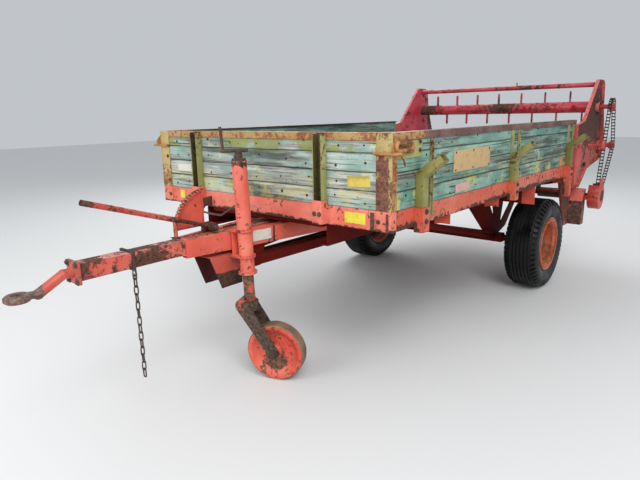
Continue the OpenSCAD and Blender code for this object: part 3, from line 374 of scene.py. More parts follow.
forkPaint = paintedSteel("forkPaint", {
    "coats": ("#c65a48", "#d69484", "#8a4032"), "rust": 0.94, "chips": 0.5, "tones": ("#2c241f", "#63503f"),
    "shift": (9.3, 2.7, 1.0)})
strawPaint = paintedSteel("strawPaint", {
    "coats": ("#969a5e", "#b3b57c", "#74773c"), "rust": 0.5, "chips": 0.6, "tones": ("#3c2a1c", "#8a5c34"),
    "dustAndSheenColour": "#c3bd92"})
cornerPaint = paintedSteel("cornerPostPaint", {
    "coats": ("#aa9a58", "#b8a566", "#94683a"), "rust": 0.66, "chips": 0.74, "tones": ("#55342a", "#8a5a44"),
    "rustBands": [("Z", wallBottom + 0.34, wallBottom + 0.26, 0.42), ("Z", wallBottom + 0.38,
    wallBottom + 0.42, 0.3)], "keptEdges": (0.942, 0.038, 0.058, 0.4), "shift": (2.2, 0.1, 0.7)})
farPostPaint = paintedSteel("farPostPaint", {
    "coats": ("#b5a262", "#c4b076", "#a07642"), "rust": 0.56, "chips": 0.66,
    "tones": ("#6b452c", "#a8703f"), "shift": (1.2, 1.1, 0.3)})
stakePaint = paintedSteel("stakePaint", {
    "coats": ("#7c733a", "#979250", "#574f28"), "rust": 0.46, "chips": 0.62,
    "tones": ("#2c2216", "#6a4c2c"), "shift": (2.0, 9.2, 0.0)})
frontRailPaint = paintedSteel("frontRailPaint", {
    "coats": ("#b3925a", "#bd9b66", "#965f36"), "rust": 0.76, "chips": 0.7, "tones": ("#6b4230", "#b06c40"),
    "shift": (0.1, 0.2, 0.9)})
latchPaint = paintedSteel("latchPaint", {
    "coats": ("#a9743f", "#c08a50", "#86522c"), "rust": 0.72, "chips": 0.6, "tones": ("#4a2a1a", "#a0683c"),
    "shift": (4.1, 0.6, 3.9)})
latchPlate = paintedSteel("latchPlatePaint", {
    "coats": ("#a7a863", "#bdbb7c", "#86834a"), "rust": 0.46, "chips": 0.6, "tones": ("#4f3520", "#8f6238"),
    "shift": (0.1, 2.6, 1.9)})
# Painted shade: the inside of the front posts' open channels is coloured near black, as dark as the shade in them,
# with some grime
slotPaintedShadeAndGrime = paintedSteel("slotPaintedShadeAndGrime", {
    "coats": ("#4a4620", "#5a5230", "#241f10"), "rust": 0.6, "chips": 0.6, "tones": ("#15100b", "#4a3220"),
    "dust": 0.1})


# Bare rusted or oiled steel
def bareSteel(name, look):
    made, tree, shader = newMaterial(name)
    place = mapped(tree, objectSpot(tree), look.get("shift", (0, 0, 0)))
    edge = useGroup(tree, edgeWear, {"Radius": 0.004})
    first = ramp(tree, cloud(tree, place, look.get("scale", 8.0), 8, 0.7), 0.35, 0.65)
    second = ramp(tree, cloud(tree, place, 70.0, 5, 0.7), 0.4, 0.7)
    colour = mixColour(tree, first, linear(look["dark"]), linear(look["light"]))
    colour = mixColour(tree, times(tree, second, 0.45), colour, linear(look["spot"]))
    colour = mixColour(tree, times(tree, edge.outputs["Edge"], 0.4), colour, linear(look["edge"]))
    colourInto(tree, shader, colour, ramp(tree, second, 0.0, 1.0, look.get("gloss", 0.55), 0.9))
    shader.inputs["Metallic"].default_value = look.get("metal", 0.0)
    bumpInto(tree, shader, cloud(tree, place, 150.0, 5, 0.7), 0.45, 0.001, edge.outputs["Rounded"])
    return made


rustySteel = bareSteel("rustySteel", {
    "dark": "#3f2a22", "light": "#6b4636", "spot": "#8a5a3c", "edge": "#8b6a58"})
darkRust = bareSteel("darkRust", {
    "dark": "#2f211c", "light": "#5a4238", "spot": "#6d4a3a", "edge": "#7d6558"})
brownRail = bareSteel("brownRail", {
    "dark": "#4e342d", "light": "#86655b", "spot": "#5f3c31", "edge": "#a58677", "scale": 5.0, "gloss": 0.5})
oiledSteel = bareSteel("oiledSteel", {
    "dark": "#1c1715", "light": "#3a2d27", "spot": "#4d3a2f", "edge": "#6b5a4e", "gloss": 0.38,
    "metal": 0.35})
underShadow = bareSteel("openTubeInside", {
    "dark": "#120e0b", "light": "#2c211a", "spot": "#3a2a20", "edge": "#4a382c"})
driveSteel = bareSteel("driveChainSteel", {
    "dark": "#120f0d", "light": "#2b231e", "spot": "#3a2b22", "edge": "#453b34", "gloss": 0.55,
    "metal": 0.15})
chainSteel = bareSteel("chainSteel", {
    "dark": "#2c2522", "light": "#574941", "spot": "#6b4f3f", "edge": "#8d8078", "gloss": 0.45, "metal": 0.4})


# Weathered boards: grain along the board, remains of turquoise paint, lichen and cracks
def boardWood(name, look):
    made, tree, shader = newMaterial(name)

    def grainPlace(long, across):                           # stretched along the board
        scale = (long, across, across) if look["along"] == "X" else (across, long, across)
        return mapped(tree, shuffled, scale=scale)

    spot = objectSpot(tree)
    split = wire(tree, "ShaderNodeSeparateXYZ", {0: spot})
    rows = minus(tree, split.outputs[look["rowAxis"]], look["rowStart"])
    rows = maths(tree, "DIVIDE", rows, look["rowPitch"])
    row = maths(tree, "FLOOR", rows)
    seed = wire(tree, "ShaderNodeTexWhiteNoise", {"W": row}, noise_dimensions="1D")
    jump = wire(tree, "ShaderNodeVectorMath", {0: seed.outputs["Color"], 1: (9, 9, 9)}, operation="MULTIPLY")
    shuffled = wire(tree, "ShaderNodeVectorMath", {0: spot, 1: jump.outputs[0]}, operation="ADD").outputs[0]
    broad = grainPlace(1.6, 12)
    grain = cloud(tree, grainPlace(3, 90), 1.0, 6, 0.65, 0.6)
    streak = cloud(tree, broad, 1.0, 8, 0.7, 0.5)
    bare = mixColour(tree, ramp(tree, grain, 0.3, 0.7), linear(look["woodDark"]), linear(look["woodLight"]))
    tint = mixColour(tree, ramp(tree, cloud(tree, shuffled, 2.2, 5, 0.6), 0.35, 0.65), linear(look["paint"]),
                     linear(look["paintLight"]))
    tint = mixColour(tree, ramp(tree, grain, 0.25, 0.8, 0.0, 0.4), tint, linear(look["paintDeep"]))
    kept = plus(tree, streak, times(tree, minus(tree, grain, 0.5), 0.45))
    kept = plus(tree, kept, times(tree, minus(tree, seed.outputs["Value"], 0.5), 0.1))
    share = ramp(tree, kept, look["keepLow"], look["keepLow"] + 0.12)
    colour = mixColour(tree, share, bare, tint)
    lichen = ramp(tree, plus(tree, cloud(tree, shuffled, 6.0, 7, 0.72), times(tree, grain, 0.12)), 0.64, 0.7)
    colour = mixColour(tree, times(tree, lichen, look["lichenShare"]), colour, linear(look["lichen"]))
    stain = ramp(tree, cloud(tree, broad, 0.8, 5, 0.6), 0.48, 0.64)
    colour = mixColour(tree, times(tree, stain, 0.82), colour, linear(look["stain"]))
    for share, low, high, code in look["tints"]:            # painted patches that only some heights have
        patch = plus(tree, cloud(tree, shuffled, 6.5, 7, 0.7), times(tree, grain, 0.14))
        patch = ramp(tree, patch, look["patchLow"], look["patchLow"] + 0.07)
        where = ramp(tree, split.outputs["Z"], low, high)
        colour = mixColour(tree, times(tree, times(tree, patch, where), share), colour, linear(code))
    joint = ramp(tree, maths(tree, "ABSOLUTE", minus(tree, maths(tree, "FRACT", rows), 0.5)), 0.4, 0.5)
    grime = times(tree, joint, ramp(tree, streak, 0.35, 0.6, 0.35, 1.0))
    colour = mixColour(tree, times(tree, grime, 0.7), colour, linear(look["crack"]))
    crack = ramp(tree, cloud(tree, grainPlace(2.2, 130), 0.5, 3, 0.5), 0.38, 0.27)
    colour = mixColour(tree, times(tree, crack, 0.9), colour, linear(look["crack"]))
    speck = ramp(tree, cloud(tree, shuffled, 46.0, 2, 0.5), 0.70, 0.74)
    colour = mixColour(tree, times(tree, speck, 0.8), colour, linear(look["crack"]))
    colourInto(tree, shader, colour, ramp(tree, share, 0.0, 1.0, 0.9, 0.62))
    height = plus(tree, times(tree, grain, 0.7), times(tree, crack, -1.4))
    bumpInto(tree, shader, plus(tree, height, times(tree, share, 0.25)), 0.6, 0.0022)
    return made


wallTones = {"woodDark": "#3f463f", "woodLight": "#9aa195", "stain": "#37413a", "crack": "#171a15",
             "lichen": "#d3d8b0", "rowAxis": "Z", "rowStart": wallBottom - 0.0015, "rowPitch": 0.1,
             "tints": [], "patchLow": 0.6}
yellowLow = [(0.8, wallBottom + 0.17, wallBottom + 0.06, "#c6c268")]  # share, from and to a height, colour
oliveTop = [(0.85, wallBottom + 0.28, wallBottom + 0.31, "#8d944e"),
            (0.36, wallBottom + 0.2, wallBottom + 0.08, "#cdbf62")]
sideWood = boardWood("sideBoards", {
    **wallTones, "along": "X", "paint": "#5e9284", "paintLight": "#a3c6b4", "paintDeep": "#3e675c",
    "keepLow": 0.41, "lichenShare": 0.45, "tints": yellowLow})
frontWood = boardWood("frontBoards", {
    **wallTones, "along": "Y", "paint": "#84a89b", "paintLight": "#cddbd2", "paintDeep": "#587c70",
    "keepLow": 0.46, "lichenShare": 0.6, "woodLight": "#ced1c8", "woodDark": "#6a6f67", "tints": oliveTop,
    "patchLow": 0.54})
floorWood = boardWood("floorBoards", {
    **wallTones, "along": "X", "paint": "#4e3f32", "paintLight": "#5f503f", "paintDeep": "#352b22",
    "keepLow": 0.45, "lichenShare": 0.1, "woodLight": "#63574a", "woodDark": "#322a23", "stain": "#221b15",
    "rowAxis": "Y", "rowStart": originY - halfWidth + 0.05, "rowPitch": 0.1492})


# Rubber with a dusty side wall
def tyreRubber(name, look):
    made, tree, shader = newMaterial(name)
    place = objectSpot(tree)
    split = wire(tree, "ShaderNodeSeparateXYZ", {0: place}).outputs
    flat = wire(tree, "ShaderNodeCombineXYZ", {0: split["X"], 1: split["Z"]}).outputs[0]
    fromHub = wire(tree, "ShaderNodeVectorMath", {0: flat, 1: (*look["hub"], 0)}, operation="DISTANCE")
    wall = ramp(tree, fromHub.outputs["Value"], look["radius"], look["radius"] - 0.04)
    patch = ramp(tree, cloud(tree, place, 5.0, 6, 0.6), 0.3, 0.75)
    colour = mixColour(tree, times(tree, wall, 0.85), linear(look["tread"]), linear(look["wall"]))
    colour = mixColour(tree, times(tree, patch, 0.18), colour, linear(look["dust"]))
    shader.inputs["Specular IOR Level"].default_value = look["shine"]
    colourInto(tree, shader, colour, ramp(tree, patch, 0.0, 1.0, 0.36, 0.8))
    bumpInto(tree, shader, cloud(tree, place, 220.0, 4, 0.6), 0.25, 0.0008)
    return made


rubber = tyreRubber("tyreRubber", {"hub": (hubX, hubHeight), "radius": hubHeight - 0.03, "tread": "#040505",
                                   "wall": "#2c2d30", "dust": "#3c3b38", "shine": 0.3})
rimPaint = paintedSteel("rimPaint", {
    "coats": ("#cb6746", "#e08a66", "#8c3f27"), "rust": 0.5, "chips": 0.55, "tones": ("#7a4028", "#b3683f"),
    "shift": (7.7, 0.2, 0.4)})
# Painted shade: the rim's disc deep inside the wheel is coloured dark brown, as dark as the shade there, with rust
rimPaintedShade = paintedSteel("rimPaintedShade", {
    "coats": ("#6e3020", "#7d3d28", "#401a10"), "rust": 0.7, "chips": 0.6, "tones": ("#2a150e", "#5e3320"),
    "shine": 0.3, "shift": (3.7, 2.2, 0.4)})
casterPaint = paintedSteel("casterPaint", {
    "coats": ("#db4c38", "#e86c54", "#aa3022"), "rust": 0.44, "chips": 0.66,
    "tones": ("#33231b", "#8a6650"), "rustSpots": [(tuple(casterHub + Vector((0, 0, -0.05))), 0.095, 0.5)],
    "shift": (1.2, 2.3, 3.4)})
mudSteel = bareSteel("mudSteel", {
    "dark": "#543c2f", "light": "#93755c", "spot": "#a58a6c", "edge": "#a08468", "scale": 6.0})


# A plain film or plate with worn spots
def plainFinish(name, code, rough, spots, share):
    made, tree, shader = newMaterial(name)
    place = objectSpot(tree)
    worn = ramp(tree, cloud(tree, place, 22.0, 6, 0.7), 0.5, 0.72)
    colourInto(tree, shader, mixColour(tree, times(tree, worn, share), linear(code), linear(spots)),
               ramp(tree, worn, 0.0, 1.0, rough, 0.9))
    bumpInto(tree, shader, cloud(tree, place, 90.0, 4, 0.6), 0.2, 0.0006)
    return made


amber = plainFinish("amberLens", "#e0861a", 0.3, "#8a4a10", 0.3)
yellowFilm = plainFinish("yellowFilm", "#e2cf3e", 0.45, "#8c7a2c", 0.35)
agedFilm = plainFinish("agedFilm", "#d2bd58", 0.55, "#8f7f3a", 0.55)
paleFilm = plainFinish("paleFilm", "#d9d3c6", 0.5, "#9a8a78", 0.4)
pinkFilm = plainFinish("pinkFilm", "#cfa79a", 0.5, "#8f6a60", 0.4)
beigePlate = plainFinish("beigePlate", "#c9a877", 0.55, "#94774e", 0.5)

nodeFinish = {
    "tow_eye": eyePaint, "drawbar_beam": drawbarPaint, "drawbar_arms": armPaint, "drawbar_braces": shadePaint,
    "jack_bracket": redPaint, "jack_sleeve": sleevePaint, "jack_leg": legPaint, "jack_crank": darkRust,
    "caster_fork": forkPaint, "caster_wheel": casterPaint, "pto_hood": hoodPaint, "pto_shaft": oiledSteel,
    "rear_gearbox": shadePaint, "quadrant": armPaint, "hand_lever": leverPaint, "brake_rod": darkRust,
    "safety_chain": chainSteel, "chassis_rails": shadePaint, "cross_members": shadePaint,
    "axle_stands": shadePaint, "axle_beam": shadePaint, "front_sill": sillPaint, "side_sills": sideSillPaint,
    "floor_boards": floorWood, "scraper_chain": rustySteel, "scraper_shafts": oiledSteel,
    "front_planks": frontWood, "front_posts": strawPaint, "top_rails": brownRail,
    "side_planks_left": sideWood, "side_planks_right": sideWood, "side_straps": strawPaint,
    "stakes": stakePaint, "corner_latches": latchPaint, "rear_frame_left": rearPaint,
    "rear_frame_right": crimsonPaint, "top_guard": crimsonPaint, "beater_upper": beaterPaint,
    "beater_lower": beaterPaint, "drive_shaft": oiledSteel, "drive_chain": driveSteel,
    "chain_guard": guardPaint, "feed_box": browned, "tyre_left": rubber, "tyre_right": rubber,
    "rim_left": rimPaint, "rim_right": rimPaint, "reflectors": amber,
}
for nodeName, finish in nodeFinish.items():
    mesh = frame["nodes"][nodeName].data
    mesh.materials.clear()
    mesh.materials.append(finish)
latchMesh = frame["nodes"]["corner_latches"].data
latchMesh.materials.append(latchPlate)
plateEdge = {"out": halfWidth + 0.0055, "front": originX - 0.04}
for face in latchMesh.polygons:                             # the flat plates have the straps' colour
    if abs(face.center.y - originY) < plateEdge["out"] and face.center.x < plateEdge["front"]:
        face.material_index = 1
print("materials done")


# Modelling helpers
def leaveEdit():
    bpy.ops.object.mode_set(mode="OBJECT")


def deselect():
    if bpy.context.object and bpy.context.object.mode != "OBJECT":
        leaveEdit()
    bpy.ops.object.select_all(action="DESELECT")


def pick(obj):
    deselect()
    obj.select_set(True)
    bpy.context.view_layer.objects.active = obj


def editAll(obj):
    pick(obj)
    bpy.ops.object.mode_set(mode="EDIT")
    bpy.ops.mesh.select_all(action="SELECT")


def editNothing(obj, kind):
    pick(obj)
    bpy.ops.object.mode_set(mode="EDIT")
    bpy.ops.mesh.select_mode(type=kind)
    bpy.ops.mesh.select_all(action="DESELECT")
    leaveEdit()


def settle(obj):
    pick(obj)
    bpy.ops.object.transform_apply(location=True, rotation=True, scale=True)


def applyAll(obj):
    pick(obj)
    for modifier in list(obj.modifiers):
        bpy.ops.object.modifier_apply(modifier=modifier.name)


def bevelEdges(obj, width, segments=2, angle=35):
    made = obj.modifiers.new("edges", "BEVEL")
    made.width, made.segments = width, segments
    made.limit_method = "ANGLE"
    made.angle_limit = math.radians(angle)
    made.use_clamp_overlap = True
    applyAll(obj)


def smoothBy(obj, angle=35):
    pick(obj)
    bpy.ops.object.shade_smooth_by_angle(angle=math.radians(angle))


def joined(parts):
    deselect()
    for part in parts:
        part.select_set(True)
    bpy.context.view_layer.objects.active = parts[0]
    if len(parts) > 1:
        bpy.ops.object.join()
    return bpy.context.object


def outward(obj):
    editAll(obj)
    bpy.ops.mesh.remove_doubles(threshold=0.00001)
    bpy.ops.mesh.normals_make_consistent(inside=False)
    leaveEdit()


def finishPiece(obj, name, finish, body="chassis", nodes=()):
    settle(obj)
    obj.name = name
    obj.data.name = name
    obj.data.materials.clear()
    obj.data.materials.append(finish)
    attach(obj, body)
    if nodes:
        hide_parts(*nodes)
    return obj


def copyOf(obj):
    made = obj.copy()
    made.data = obj.data.copy()
    bpy.context.scene.collection.objects.link(made)
    return made


def cube(place, size):
    bpy.ops.mesh.primitive_cube_add(size=1, location=place)
    obj = bpy.context.object
    obj.scale = size
    settle(obj)
    return obj


def ring(radius, bar, sections, sides, place=(0, 0, 0)):    # upright, its axis along Y
    bpy.ops.mesh.primitive_torus_add(major_radius=radius, minor_radius=bar, major_segments=sections,
                                     minor_segments=sides, rotation=(math.pi / 2, 0, 0), location=place)
    settle(bpy.context.object)
    return bpy.context.object


def crown(obj, inset, rise):                                # a chamfered top
    pickFaces(obj, lambda spot, normal: normal.z > 0.9)
    bpy.ops.mesh.inset(thickness=inset)
    bpy.ops.transform.translate(value=(0, 0, rise))
    leaveEdit()


def placed(proto, spots):
    made = []
    for matrix in spots:
        part = copyOf(proto)
        part.data.transform(matrix)
        made.append(part)
    bpy.data.objects.remove(proto)
    return joined(made)


def facing(place, direction, spin=0.0, size=1.0):
    turn = Vector(direction).to_track_quat("Z", "Y").to_matrix().to_4x4()
    return Matrix.Translation(place) @ turn @ Matrix.Rotation(spin, 4, "Z") @ Matrix.Scale(size, 4)


def lengthwise(place, ahead, across):
    return Matrix.Translation(place) @ Matrix((ahead, across.cross(ahead), across)).transposed().to_4x4()


def pickFaces(obj, test):
    editNothing(obj, "FACE")
    for face in obj.data.polygons:
        face.select = bool(test(face.center, face.normal))
    bpy.ops.object.mode_set(mode="EDIT")


def pullPoints(obj, test, step):
    editNothing(obj, "VERT")
    for vertex in obj.data.vertices:
        vertex.select = bool(test(vertex.co))
    bpy.ops.object.mode_set(mode="EDIT")
    bpy.ops.transform.translate(value=step)
    leaveEdit()


def paintFaces(obj, finish, test):
    obj.data.materials.append(finish)
    for face in obj.data.polygons:
        if test(face.center, face.normal):
            face.material_index = len(obj.data.materials) - 1


def addDrum(radius, depth, sides=24, place=(0, 0, 0)):
    bpy.ops.mesh.primitive_cylinder_add(vertices=sides, radius=radius, depth=depth, location=place)
    settle(bpy.context.object)
    return bpy.context.object


def bentRod(points, radius):
    data = bpy.data.curves.new("rod", "CURVE")
    data.dimensions, data.bevel_depth, data.bevel_resolution, data.use_fill_caps = "3D", radius, 2, True
    data.resolution_u = 4
    line = data.splines.new("NURBS")
    line.points.add(len(points) - 1)
    for point, spot in zip(line.points, points):
        point.co = (*spot, 1)
    line.order_u, line.use_endpoint_u = 3, True
    obj = bpy.data.objects.new("rod", data)
    bpy.context.scene.collection.objects.link(obj)
    pick(obj)
    bpy.ops.object.convert(target="MESH")
    outward(bpy.context.object)
    smoothBy(bpy.context.object, 40)
    return bpy.context.object


# Each steel piece keeps its shape from the source and gets rounded edges and smooth curves
roundedTable = [
    ("front_sill", 0.0025, "red"), ("front_posts", 0.002, "straw"), ("top_rails", 0.0018, "rust"),
    ("side_straps", 0.0015, "straw"), ("stakes", 0.003, "straw"), ("tow_eye", 0.002, "rust"),
    ("drawbar_beam", 0.004, "red"), ("drawbar_arms", 0.0025, "red"), ("jack_sleeve", 0.002, "red"),
    ("jack_leg", 0.002, "rust"), ("jack_bracket", 0.002, "red"), ("quadrant", 0.001, "red"),
    ("axle_stands", 0.0015, "dark_red"), ("drawbar_braces", 0.0015, "dark_red"),
    ("axle_beam", 0.003, "dark_red"), ("top_guard", 0.002, "red"), ("rim_left", 0.002, "rust"),
    ("rim_right", 0.002, "rust"), ("caster_wheel", 0.002, "red"), ("feed_box", 0.004, "dark_red"),
    ("chain_guard", 0.0015, "red"), ("pto_hood", 0.001, "dark_red"), ("rear_frame_left", 0.0015, "red"),
    ("rear_frame_right", 0.0015, "red"), ("hand_lever", 0.0015, "red"), ("pto_shaft", 0.001, "steel"),
]
bodyOf = {n: b for b, members in frame["record"]["behaviour"]["bodies"].items() for n in members}


def splitAt(obj, spot, normal):
    editAll(obj)
    bpy.ops.mesh.bisect(plane_co=spot, plane_no=normal)
    leaveEdit()


def openTube(obj):                                          # the stakes' upper ends show an open tube
    pickFaces(obj, lambda spot, normal: 0.7 < abs(normal.y) < 0.85 and 0.5 < normal.z < 0.7)
    bpy.ops.mesh.inset(thickness=0.006)
    bpy.ops.mesh.extrude_region_shrink_fatten(TRANSFORM_OT_shrink_fatten={"value": -0.07})
    leaveEdit()


def roundedCopy(nodeName, width, slotName):
    source = frame["nodes"][nodeName]
    obj = bpy.data.objects.new("work", source.data.copy())
    bpy.context.scene.collection.objects.link(obj)
    if "custom_normal" in obj.data.attributes:
        obj.data.attributes.remove(obj.data.attributes["custom_normal"])
    editAll(obj)
    bpy.ops.mesh.remove_doubles(threshold=0.00002)
    bpy.ops.mesh.dissolve_limited(angle_limit=math.radians(0.5))
    leaveEdit()
    if nodeName == "stakes":
        openTube(obj)
    if nodeName == "front_posts":
        splitAt(obj, (0, 0, wallBottom), (0, 0, 1))
    if nodeName == "top_rails":
        splitAt(obj, at(-0.31, 0, 0), (1, 0, 0))
    bevelEdges(obj, width, 2, 40)
    smoothBy(obj, 32)
    return finishPiece(obj, nodeName + "Rounded", nodeFinish[nodeName], bodyOf[nodeName], [nodeName])


rounded = {row[0]: roundedCopy(*row) for row in roundedTable}
postPlaces = (-0.56, 0.545)
upperAxis, lowerAxis = (-3.810, 1.585), (-3.950, 1.195)     # the beaters, X and Z
wheelHub, leverHub = (hubX, hubHeight), (originX + 0.365, 0.935)
limits = {"corner": 0.9, "slotHalf": 0.0285, "slotFrom": 0.003, "slotTo": 0.0485, "railFront": -0.31,
          "mud": 0.166, "collar": 1.322, "arc": 0.212, "arcFoot": 0.946, "feedFace": -3.395, "feedTop": 0.66,
          "rimShadeRadius": 0.19}
boreLook = {"radius": 0.0224, "ease": 0.0008}


# the faces inside a front post's channel, which get the painted shade
def inPostSlot(spot, normal):
    near = any(abs(spot.y - originY - y) < limits["slotHalf"] for y in postPlaces)
    return near and limits["slotFrom"] < spot.x - originX < limits["slotTo"] and normal.x > -0.9


def onCorner(spot, above):
    return abs(spot.y - originY) > limits["corner"] and (spot.z > wallBottom) == above


def fromHub(spot, hub):
    return math.hypot(spot.x - hub[0], spot.z - hub[1])


paintRows = [
    ("front_posts", slotPaintedShadeAndGrime, inPostSlot),
    ("front_posts", cornerPaint, lambda spot, normal: onCorner(spot, True)),
    ("front_posts", sillPaint, lambda spot, normal: onCorner(spot, False)),
    ("front_posts", frontRailPaint, lambda spot, normal: onCorner(spot, True) and abs(normal.y) > 0.7),
    ("front_posts", farPostPaint, lambda spot, normal: onCorner(spot, True) and spot.y < originY),
    ("top_rails", frontRailPaint, lambda spot, normal: spot.x > originX + limits["railFront"]),
    ("caster_wheel", mudSteel, lambda spot, normal: (spot - casterHub).length > limits["mud"]),
    ("jack_sleeve", darkRust, lambda spot, normal: spot.z > limits["collar"]),
    # the hood's inward and downward faces get the painted shade
    ("pto_hood", hoodPaintedShade, lambda spot, normal: (spot.y - originY) * normal.y < -0.001 or normal.z < -0.6),
    ("rear_frame_left", rearFlange, lambda spot, normal: abs(normal.y) < 0.5),
    ("quadrant", arcPaint, lambda spot, normal: fromHub(spot, leverHub) > limits["arc"]),
    ("quadrant", browned, lambda spot, normal: spot.z < limits["arcFoot"]),
    ("feed_box", innerPlate, lambda spot, normal: spot.x > originX + limits["feedFace"]),
    ("feed_box", redPaint,
     lambda spot, normal: spot.z > limits["feedTop"] and normal.x > 0.5 and normal.z > 0.3),
    # the rims' discs inside this radius get the painted shade
    ("rim_left", rimPaintedShade, lambda spot, normal: fromHub(spot, wheelHub) < limits["rimShadeRadius"]),
    ("rim_right", rimPaintedShade, lambda spot, normal: fromHub(spot, wheelHub) < limits["rimShadeRadius"]),
]
for nodeName, finish, test in paintRows:
    paintFaces(rounded[nodeName], finish, test)
for nodeName in ("rear_frame_left", "rear_frame_right"):    # the shafts turn freely in the bores
    for x, z in (upperAxis, lowerAxis):
        centre = at(x, 0, z)
        for vertex in rounded[nodeName].data.vertices:
            out = Vector((vertex.co.x - centre.x, 0, vertex.co.z - z))
            if out.length < boreLook["radius"]:
                vertex.co += out.normalized() * boreLook["ease"]
print("steel pieces rounded")


# Boards: each is a beam with eased edges and a slightly uneven face
boardLook = {"ease": 0.004, "cuts": 36, "warp": 0.0035, "rows": 4}
warpTexture = bpy.data.textures.new("boardWarp", "CLOUDS")
warpTexture.noise_scale = 0.25
warpTexture.noise_depth = 2


def board(low, high):
    size = high - low
    obj = cube((low + high) / 2, size)
    longAxis = max(range(3), key=lambda i: size[i])
    editNothing(obj, "EDGE")
    for edge in obj.data.edges:
        a, b = (obj.data.vertices[i].co for i in edge.vertices)
        edge.select = abs((a - b)[longAxis]) > size[longAxis] * 0.5
    bpy.ops.object.mode_set(mode="EDIT")
    bpy.ops.mesh.subdivide(number_cuts=boardLook["cuts"])
    leaveEdit()
    bevelEdges(obj, boardLook["ease"], 2, 60)
    warp = obj.modifiers.new("warp", "DISPLACE")
    warp.texture = warpTexture
    warp.texture_coords = "GLOBAL"
    warp.strength = boardLook["warp"]
    warp.mid_level = 0.5
    applyAll(obj)
    smoothBy(obj, 30)
    return obj


def boardWall(nodeName, finish):
    low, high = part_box(nodeName)
    pitch = (high.z - low.z + 0.003) / boardLook["rows"]
    parts = []
    for i in range(boardLook["rows"]):
        bottom = low.z + i * pitch
        parts.append(board(Vector((low.x, low.y, bottom)), Vector((high.x, high.y, bottom + pitch - 0.003))))
    finishPiece(joined(parts), nodeName + "Boards", finish, "chassis", [nodeName])


boardWall("side_planks_left", sideWood)
boardWall("side_planks_right", sideWood)
boardWall("front_planks", frontWood)
print("boards done")


# Tyres: a turned carcass with ribs, and short blocks round the shoulders
tyreLook = {"radius": 0.4, "half": 0.145, "bead": 0.216, "steps": 96, "groove": 0.009, "grooveTop": 0.0055,
            "grooveFoot": 0.003, "grooves": (-0.079, -0.047, -0.016, 0.016, 0.047, 0.079), "ease": 0.001,
            "zigzag": 0.0035, "zigzagHalf": 0.09, "zigzagDepth": 0.02, "blocks": 52, "lugWidth": 0.027,
            "lug": [(0.043, 0.0035), (0.016, 0.021), (0.0045, 0.05), (0.02, 0.062), (0.05, 0.02)]}


def turnedShape(points, centre, axis, steps):
    bpy.ops.mesh.primitive_circle_add(vertices=len(points), radius=0.1, fill_type="NOTHING")
    obj = bpy.context.object
    for vertex, point in zip(obj.data.vertices, points):
        vertex.co = point
    settle(obj)
    editAll(obj)
    bpy.ops.mesh.spin(steps=steps, dupli=False, angle=2 * math.pi, use_auto_merge=True, use_normal_flip=False,
                      center=centre, axis=axis)
    bpy.ops.mesh.select_all(action="SELECT")
    bpy.ops.mesh.remove_doubles(threshold=0.0001)
    bpy.ops.mesh.normals_make_consistent(inside=False)
    leaveEdit()
    return obj


def tyreProfile():
    radius, half, bead = (tyreLook[k] for k in ("radius", "half", "bead"))
    top, foot = tyreLook["grooveTop"], tyreLook["grooveFoot"]
    high, low = radius - tyreLook["ease"], radius - tyreLook["groove"]
    tread = []
    for y in tyreLook["grooves"]:
        tread += [(y - top, high), (y - foot, low), (y + foot, low), (y + top, high)]
    outer = [(half - 0.045, bead), (half - 0.022, bead + 0.024), (half - 0.003, bead + 0.075),
             (half, bead + 0.105), (half - 0.006, radius - 0.062), (half - 0.023, radius - 0.040),
             (half - 0.043, radius - 0.014)]
    return [(-y, r) for y, r in outer] + tread + [(y, r) for y, r in reversed(outer)]


def shoulderBlocks(centre, edge):
    bpy.ops.mesh.primitive_circle_add(vertices=5, radius=0.02, fill_type="NGON")
    block = bpy.context.object
    width = tyreLook["lugWidth"]
    for vertex, (y, r) in zip(block.data.vertices, tyreLook["lug"]):
        vertex.co = centre + Vector((-width / 2, edge * (tyreLook["half"] - y), tyreLook["radius"] - r))
    settle(block)
    editAll(block)
    bpy.ops.mesh.extrude_region_move(TRANSFORM_OT_translate={"value": (width, 0, 0)})
    bpy.ops.mesh.select_all(action="SELECT")
    bpy.ops.mesh.normals_make_consistent(inside=False)
    bpy.ops.mesh.spin(steps=tyreLook["blocks"], dupli=True, angle=2 * math.pi, center=centre, axis=(0, 1, 0))
    leaveEdit()
    return block


def makeTyre(nodeName, body):
    low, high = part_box(nodeName)
    centre = (low + high) / 2
    points = [Vector((centre.x, centre.y + y, centre.z + r)) for y, r in tyreProfile()]
    carcass = turnedShape(points, centre, (0, 1, 0), tyreLook["steps"])
    blocks = [shoulderBlocks(centre, edge) for edge in (-1, 1)]
    ribbed = tyreLook["radius"] - tyreLook["zigzagDepth"]
    for vertex in carcass.data.vertices:                    # the grooves run in a slight zigzag
        reach = vertex.co - centre
        if abs(reach.y) < tyreLook["zigzagHalf"] and math.hypot(reach.x, reach.z) > ribbed:
            turn = round(math.atan2(reach.z, reach.x) / (2 * math.pi / tyreLook["steps"]))
            vertex.co.y += tyreLook["zigzag"] * (1 if turn % 2 else -1)
    tyre = joined([carcass] + blocks)
    smoothBy(tyre, 30)
    finishPiece(tyre, nodeName + "Tread", rubber, body, [nodeName])


makeTyre("tyre_left", "wheel_left")
makeTyre("tyre_right", "wheel_right")
print("tyres done")

